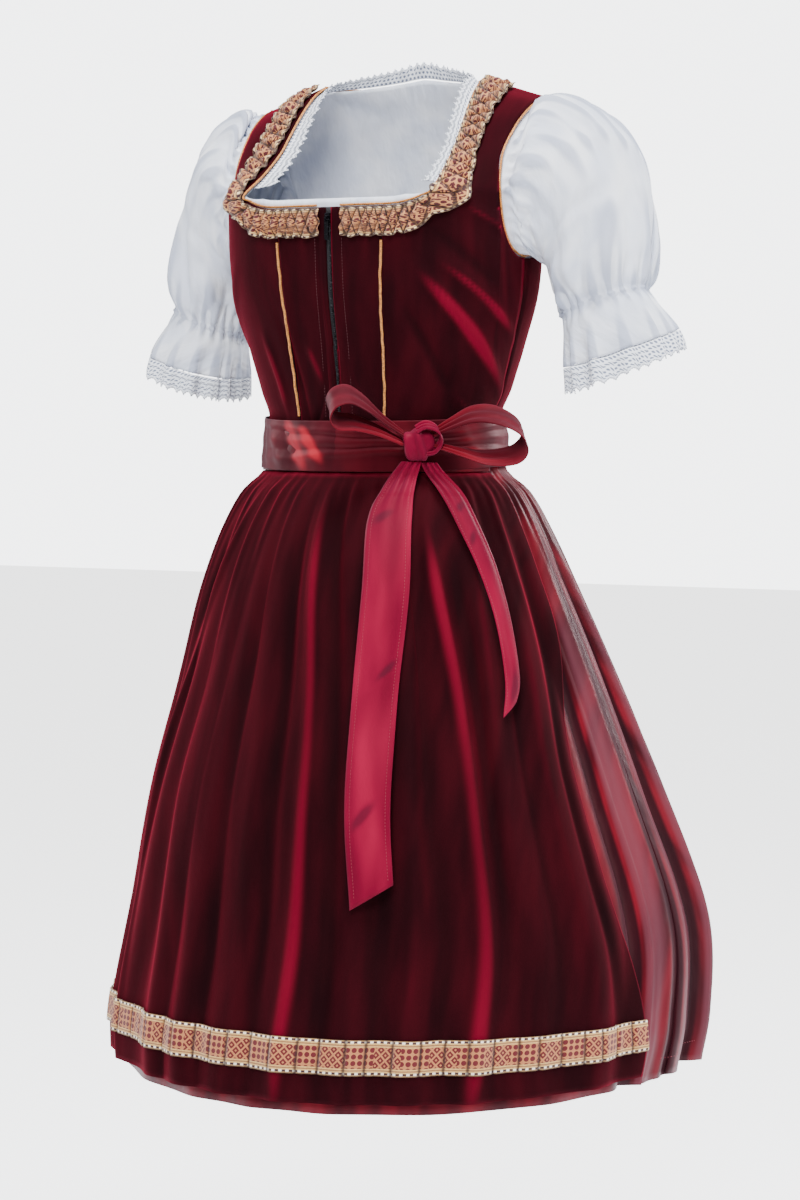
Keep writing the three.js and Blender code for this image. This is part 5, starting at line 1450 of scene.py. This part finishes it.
def makeApron():
    rows = steps(build["apronHemZ"], build["bandLowerZ"] - 1.5, 96)
    columns = steps(-apron["span"], apron["span"], 340)
    addCloth("apron_panel", finishes["velvet"],
             build["velvetWall"] * 0.8,
             columns, rows, apronPlace, relief=apronRelief, shade=apronShade)
    out = build["velvetWall"] / 2 + build["seamGap"] + build["braidWall"] / 2 + 0.5
    top = build["braidLowerZ"] + build["braidHeight"]

    turns = [-78.5 + 4.55 * k + 1.3 * drift(k * 1.7, 4, 1) for k in range(35)]  # where the braid is tucked

    def tuckOf(angle, z):
        away = min((angle / degree - turn for turn in turns), key=abs)
        return 0.9 * bell(away - 1.0, 0.5) - 2.2 * bell(away, 0.36)

    def tucked(angle, z):
        return apronRelief(angle, (build["braidLowerZ"] + top) / 2) + 0.9 + tuckOf(angle, z)

    # the braid's tucks get painted shade
    columns, rows = steps(-apron["span"], apron["span"], 700), steps(build["braidLowerZ"], top, 8)
    addCloth("apron_braid", finishes["apronBraid"], build["braidWall"] * 0.7,
             columns, rows, lambda angle, z: apronPlace(angle, z, out), relief=tucked,
             shade=lambda angle, z: 2.4 * tuckOf(angle, z))


bandSections = tableOf("z centreY halfWidth halfDepth", (-430, -42, 142.5, 103.5), (-396, -42, 140.5, 101.5),
                       (-362, -42, 137, 98))
bow = {"angle": 38 * degree, "z": -389, "side": 17, "out": 12, "up": 18, "sashOut": 2.2}


def bandPoint(angle, z, out=0.0):
    section = rowAt(bandSections, "z", z)
    section["z"] = z
    return around(section, angle, -out)


sashFolds = tableOf("start end height width", (0.18, 0.42, 2.4, 0.07), (0.40, 0.50, -1.6, 0.05),
                    (0.62, 0.56, 2.2, 0.08), (0.84, 0.64, -1.4, 0.05), (0.92, 0.7, 1.8, 0.06))


def turnedDegrees(angle):  # from -180 to 180 round the waist
    return angle / degree if angle < math.pi else angle / degree - 360


def sashRelief(angle, share):
    away = (angle - bow["angle"] + math.pi) % (2 * math.pi) - math.pi
    near = bell(away, 1.1)
    total = 0
    for fold in sashFolds:
        centre = lerp(fold["start"], fold["end"], near)
        centre += 0.05 * drift(3 * math.sin(angle), 3 * math.cos(angle), 2)
        total += fold["height"] * bell(share - centre, fold["width"]) * (0.15 + 0.95 * near)
    slant = creased(sashSlants, turnedDegrees(angle), share * build["sashHeight"])
    return total + slant + 0.6 * drift(4 * math.sin(angle), 4 * math.cos(angle), share * 3)


sashSlants = tableOf(
    "along1 up1 along2 up2 width height",
    (-46, 56, -30, -4, 4.4, 2.4), (-35, 56, -19, -4, 3.6, -2.2), (-22, 50, -8, 2, 4, 1.6),
    (-62, 56, -50, -4, 4, -1.8), (58, 50, 72, 6, 4, 1.6), (96, 54, 110, 0, 4, 1.4), (150, 54, 162, 0, 4, -1.4),
    (-110, 54, -98, 0, 4, 1.4), (-140, 54, -126, 0, 4, -1.4))


# painted highlights on the sash: coral, in slanting streaks
sashPaintedHighlights = tableOf("along1 up1 along2 up2 width height", (-32, 58, -16, -4, 4.5, 8), (-20, 50, -6, 6, 3, 6))


# painted light on the sash: highlights and shade from its folds, and the coral painted highlights
def sashShade(angle, share):
    glow = creased(sashPaintedHighlights, turnedDegrees(angle), share * build["sashHeight"])
    return 0.7 * sashRelief(angle, share) - 0.4 + glow


def sashPlace(angle, share):
    low = -416 - 5 * smooth(0, 1, math.cos(angle))
    return bandPoint(angle, low + build["sashHeight"] * share, bow["sashOut"])


def makeSash():
    addCloth("apron_waistband", finishes["skirt"], build["taffetaWall"],
             steps(-apron["span"], apron["span"], 120), steps(build["bandLowerZ"], -378, 16), bandPoint,
             relief=lambda angle, z: 0.5 * drift(angle * 9, z / 12, 2))
    count = 330
    columns = [2 * math.pi * k / count for k in range(count)]
    addCloth("sash", finishes["sash"], build["ribbonWall"] * 0.7,
             columns, steps(0, 1, 36), sashPlace, closed=True, relief=sashRelief, shade=sashShade)


knotSpot = bandPoint(bow["angle"], bow["z"], bow["sashOut"])
knotSide = Vector((math.cos(bow["angle"] - 6 * degree), math.sin(bow["angle"] - 6 * degree), 0))
knotOut = Vector((knotSide.y, -knotSide.x, 0))


def fromKnot(side, up, out):
    return knotSpot + knotSide * side + knotOut * out + Vector((0, 0, up))


loopStations = {
    "right": tableOf(
        "side up out width",
        (-14.5, 8, 4, 12), (-36, 24, 12, 24), (-54, 40, 18, 38), (-72, 50, 25, 44), (-88, 46, 28, 44),
        (-94, 34, 28, 44), (-86, 23, 26, 42), (-66, 20, 21, 36), (-42, 12, 15, 24), (-16, -1, 5, 12)),
    "left": tableOf(
        "side up out width",
        (15, 8, 4, 12), (36, 20, 12, 24), (58, 29, 20, 36), (82, 28, 30, 44), (104, 16, 37, 44),
        (110, 0, 38, 44), (98, -13, 34, 42), (70, -16, 26, 34), (42, -9, 16, 22), (16, -2, 5, 12)),
    "curl": tableOf(
        "side up out width",
        (-2, 13, 8, 15), (8, 18, 11, 17), (19, 14, 11, 18), (24, 3, 10, 18), (18, -8, 9, 16),
        (7, -11, 8, 14)),
}


def makeLoops():
    perSpan, leanUp, leanOut = 9, -0.46, 0.88 * 0.8
    for side, stations in loopStations.items():
        edges = []
        for edge in (-0.5, 0.5):
            spots = [fromKnot(s["side"] + edge * s["width"] * 0.1, s["up"] + edge * s["width"] * leanUp,
                              s["out"] + 12 + edge * s["width"] * leanOut) for s in stations]
            edges.append(curveThrough(spots, perSpan))
        last = len(edges[0]) - 1

        def lay(edge, index):
            return edges[0][index].lerp(edges[1][index], edge)

        def pull(edge, index):
            nearKnot = bell(min(index, last - index) / perSpan, 2.2)
            soft = 1.4 * drift(edge * 3, index / 14, 2 if side == "left" else 8)
            return 1.7 * nearKnot * math.sin(5 * math.pi * edge
                                             + 0.6) + soft * math.sin(math.pi * index / last)

        # the bow finish paints highlights and shade from the loops' relief
        finish = finishes["tail" if side == "curl" else "bow"]
        addCloth(f"bow_loop_{side}", finish, build["ribbonWall"] * 0.7,
                 steps(0, 1, 18), list(range(last + 1)), lay, relief=pull, isNode=side != "curl")


def makeKnot():
    centre = fromKnot(0, -3, bow["out"] + build["ribbonWall"] / 2 + 1.5)
    rows, columns = 40, 72
    vertices, faces = [], []
    for j in range(rows + 1):
        tilt = math.pi * j / rows
        for i in range(columns):
            turn = 2 * math.pi * i / columns
            x, y, z = math.sin(tilt) * math.cos(turn), math.sin(tilt) * math.sin(turn), math.cos(tilt)
            boxy = 1 / max((abs(x) ** 3 + abs(y) ** 3 + abs(z) ** 3) ** (1 / 3), 0.8)
            fold = 1 + 0.13 * math.sin(8 * x + 2.2 * z + 0.5) * math.sin(tilt) + 0.05 * drift(2 * x, 2 * y,
                                                                                              2 * z)
            size = boxy * fold * (0.94 - 0.1 * z * z * abs(x))
            vertices.append((centre + knotSide * (bow["side"] * x * size) + knotOut * (bow["out"] * y * size)
                             + Vector((0, 0, bow["up"] * z * size))) * mm)
    for j in range(rows):
        for i in range(columns):
            far = (i + 1) % columns
            above, below = j * columns, (j + 1) * columns
            faces.append([below + far, below + i, above + i, above + far])
    mesh = bpy.data.meshes.new("bow_knot")
    mesh.from_pydata(vertices, [], faces)
    layer = mesh.uv_layers.new(name="cloth")
    for loop in mesh.loops:
        row, column = divmod(loop.vertex_index, columns)
        layer.data[loop.index].uv = (column * 0.0013, row * 0.0014)
    mesh.polygons.foreach_set("use_smooth", [True] * len(faces))
    addPiece("bow_knot_cloth", mesh, finishes["tail"], ["bow_knot"])


# each tail's dents list places patches of painted shade; the ribbon is not dented there
tails = {
    "long": {"slant": 27, "dents": tableOf("edge index size", (0.34, 1.9, 0.16), (0.4, 5.9, 0.1),
                                           (0.7, 3.9, 0.07)),
             "rows": tableOf(
        "k angle z width lift",
        (0, 35, -409.4, 20, 8), (1, 29, -440, 34, 7), (2, 26.6, -470, 46, 6), (3, 25.8, -540, 49, 5),
        (4, 22.5, -632, 48, 4), (5, 21.2, -705, 48, 4), (6, 20.6, -777, 47, 4), (7, 20.8, -853, 46, 4))},
    "short": {"slant": 16, "dents": tableOf("edge index size", (0.5, 1.6, 0.16), (0.4, 2.4, 0.1),
                                            (0.6, 5.3, 0.5)),
              "rows": tableOf(
        "k angle z width lift",
        (0, 42.7, -410.5, 16, 8.5), (1, 49, -440, 26, 7), (2, 53, -470, 26, 7), (3, 57, -520, 22, 6),
        (4, 58.5, -570, 20, 5), (5, 57, -632, 18, 4), (6, 54.5, -665, 18, 4))},
}


def tailPlace(tail, edge, index):
    last = len(tail["rows"]) - 1
    station = rowAt(tail["rows"], "k", index)
    z = station["z"] + tail["slant"] * (edge - 0.5) * (index / last) ** 6
    section = dict(rowAt(skirtSections, "z", z), z=z)
    spread = (edge - 0.5) * station["width"] / section["halfWidth"]
    crease = 1.5 * math.cos((edge - 0.5) * math.pi)
    hang = around(section, station["angle"] * degree + spread, -station["lift"] - crease - 1.5)
    return hang + knotOut * 6 * max(0, 1 - index / 1.2)


def makeTails():
    for name, tail in tails.items():
        last = len(tail["rows"]) - 1

        def lay(edge, index):
            return tailPlace(tail, edge, index)

        def pull(edge, index):
            nearKnot = bell(index, 1.5)
            total = 1.6 * nearKnot * math.sin(6 * math.pi * edge + 0.8)
            total += 1.3 * drift(edge * 2.2, index * 0.8, 3 if name == "long" else 7)
            hem = 0.35 if 0.1 < edge < 0.9 else 0.75
            return total + 0.9 * math.sin(index * 2.4 + edge * 1.5) * smooth(1, 3, index) + hem

        def dents(edge, index):  # painted shade: dark mauve patches on the flat ribbon, added to the painted light and shade of its folds
            total = 0
            for dent in tail["dents"]:
                slant = index - dent["index"] + 0.5 * (edge - dent["edge"])
                total += 7 * bell(edge - dent["edge"], 0.26) * bell(slant, dent["size"])
            return total + 0.8 * pull(edge, index) - 0.6

        columns = steps(1, 0, 18)
        piece = addCloth(f"bow_tail_{name}", finishes["tail"],
                         build["ribbonWall"] * 0.7, columns, steps(0, last, 110), lay, relief=pull,
                         shade=dents)
        lines = []
        for column in (2, 16):
            lines.append([piece.data.vertices[2 * (row * len(columns) + column)].co / mm
                          for row in range(8, 109)])
        addBeads(f"tail_{name}_stitches", lines, "redThread", 3.4, (2.2, 0.5, 0.5))


studio = {"distance": 3.6, "height": -0.345, "lens": 98.1, "azimuth": 30 * degree, "aimDrop": 0.2202,
          "aimLeft": 0.0044, "floor": -1.42, "floorReach": 14, "world": 0.45, "backdrop": 5}
studioLights = tableOf(
    "name right away height size power",
    ("keyLight", -0.6, 2.7, 1.7, 1.4, 130), ("fillLight", 2.6, 1.5, 0.1, 1.4, 34),
    ("sideLight", 2.3, -0.9, 0.7, 1.1, 80), ("farLight", -2.3, -0.9, 0.6, 1.1, 26),
    ("topLight", 0.2, 0.9, 2.3, 1.0, 120))


toCamera = Vector((math.sin(studio["azimuth"]), -math.cos(studio["azimuth"]), 0))
toRight = Vector((math.cos(studio["azimuth"]), math.sin(studio["azimuth"]), 0))


def makeCamera():
    camera = linkedObject("camera", bpy.data.cameras.new("camera"))
    camera.data.lens = studio["lens"]
    camera.data.sensor_width = 36
    camera.location = toCamera * studio["distance"] + Vector((0, 0, studio["height"]))
    aim = -toRight * studio["aimLeft"] + Vector((0, 0, studio["height"] - studio["aimDrop"]))
    camera.rotation_euler = (aim - camera.location).to_track_quat("-Z", "Y").to_euler()
    bpy.context.scene.camera = camera


def makeLights():
    for lamp in studioLights:
        data = bpy.data.lights.new(lamp["name"], "AREA")
        data.energy, data.size, data.shape = lamp["power"], lamp["size"], "SQUARE"
        light = linkedObject(lamp["name"], data)
        light.location = toRight * lamp["right"] + toCamera * lamp["away"] + Vector((0, 0, lamp["height"]))
        light.rotation_euler = (Vector((0, 0, -0.5)) - light.location).to_track_quat("-Z", "Y").to_euler()


def makeBackdrop():
    world = bpy.data.worlds.new("studio")
    world.use_nodes = True
    tree = world.node_tree
    tree.nodes.clear()
    seen = addNode(tree, "ShaderNodeLightPath", give="Is Camera Ray")  # the white is for the eye only
    strength = addNode(tree, "MULTIPLY_ADD", seen, studio["backdrop"] - studio["world"], studio["world"])
    sky = addNode(tree, "ShaderNodeBackground", {"Color": (0.95, 0.96, 0.98, 1), "Strength": strength},
                  give=None)
    addNode(tree, "ShaderNodeOutputWorld", {"Surface": sky.outputs[0]})
    bpy.context.scene.world = world
    mesh = bpy.data.meshes.new("floor")
    corners = [(x * studio["floorReach"], y * studio["floorReach"], studio["floor"])
               for x, y in ((-1, -1), (1, -1), (1, 1), (-1, 1))]
    mesh.from_pydata(corners, [], [(0, 1, 2, 3)])
    material, tree, shader, _ = startMaterial("floorPaper")
    seen = addNode(tree, "ShaderNodeLightPath", give="Is Camera Ray")
    glow = addNode(tree, "MULTIPLY_ADD", seen, 1.9, 0.7)  # nearly as white as the backdrop
    setShader(tree, shader, Base_Color=hexColour("#eceef2"), Roughness=0.9, Emission_Color=(1, 1, 1, 1),
              Emission_Strength=glow)
    mesh.materials.append(material)
    floor = linkedObject("floor", mesh)


stages = (("camera", makeCamera), ("lights", makeLights), ("backdrop", makeBackdrop), ("bodice", makeBodice),
          ("pipings", makePipings), ("neck braid", makeRuffle), ("blouse", makeBlouse),
          ("sleeves", makeSleeves), ("neck lace", makeNeckLace), ("zip", makeZip), ("apron", makeApron),
          ("sash", makeSash), ("skirt", makeSkirt), ("knot", makeKnot), ("loops", makeLoops),
          ("tails", makeTails))
for label, make in stages:
    make()
    print(f"{label} made")
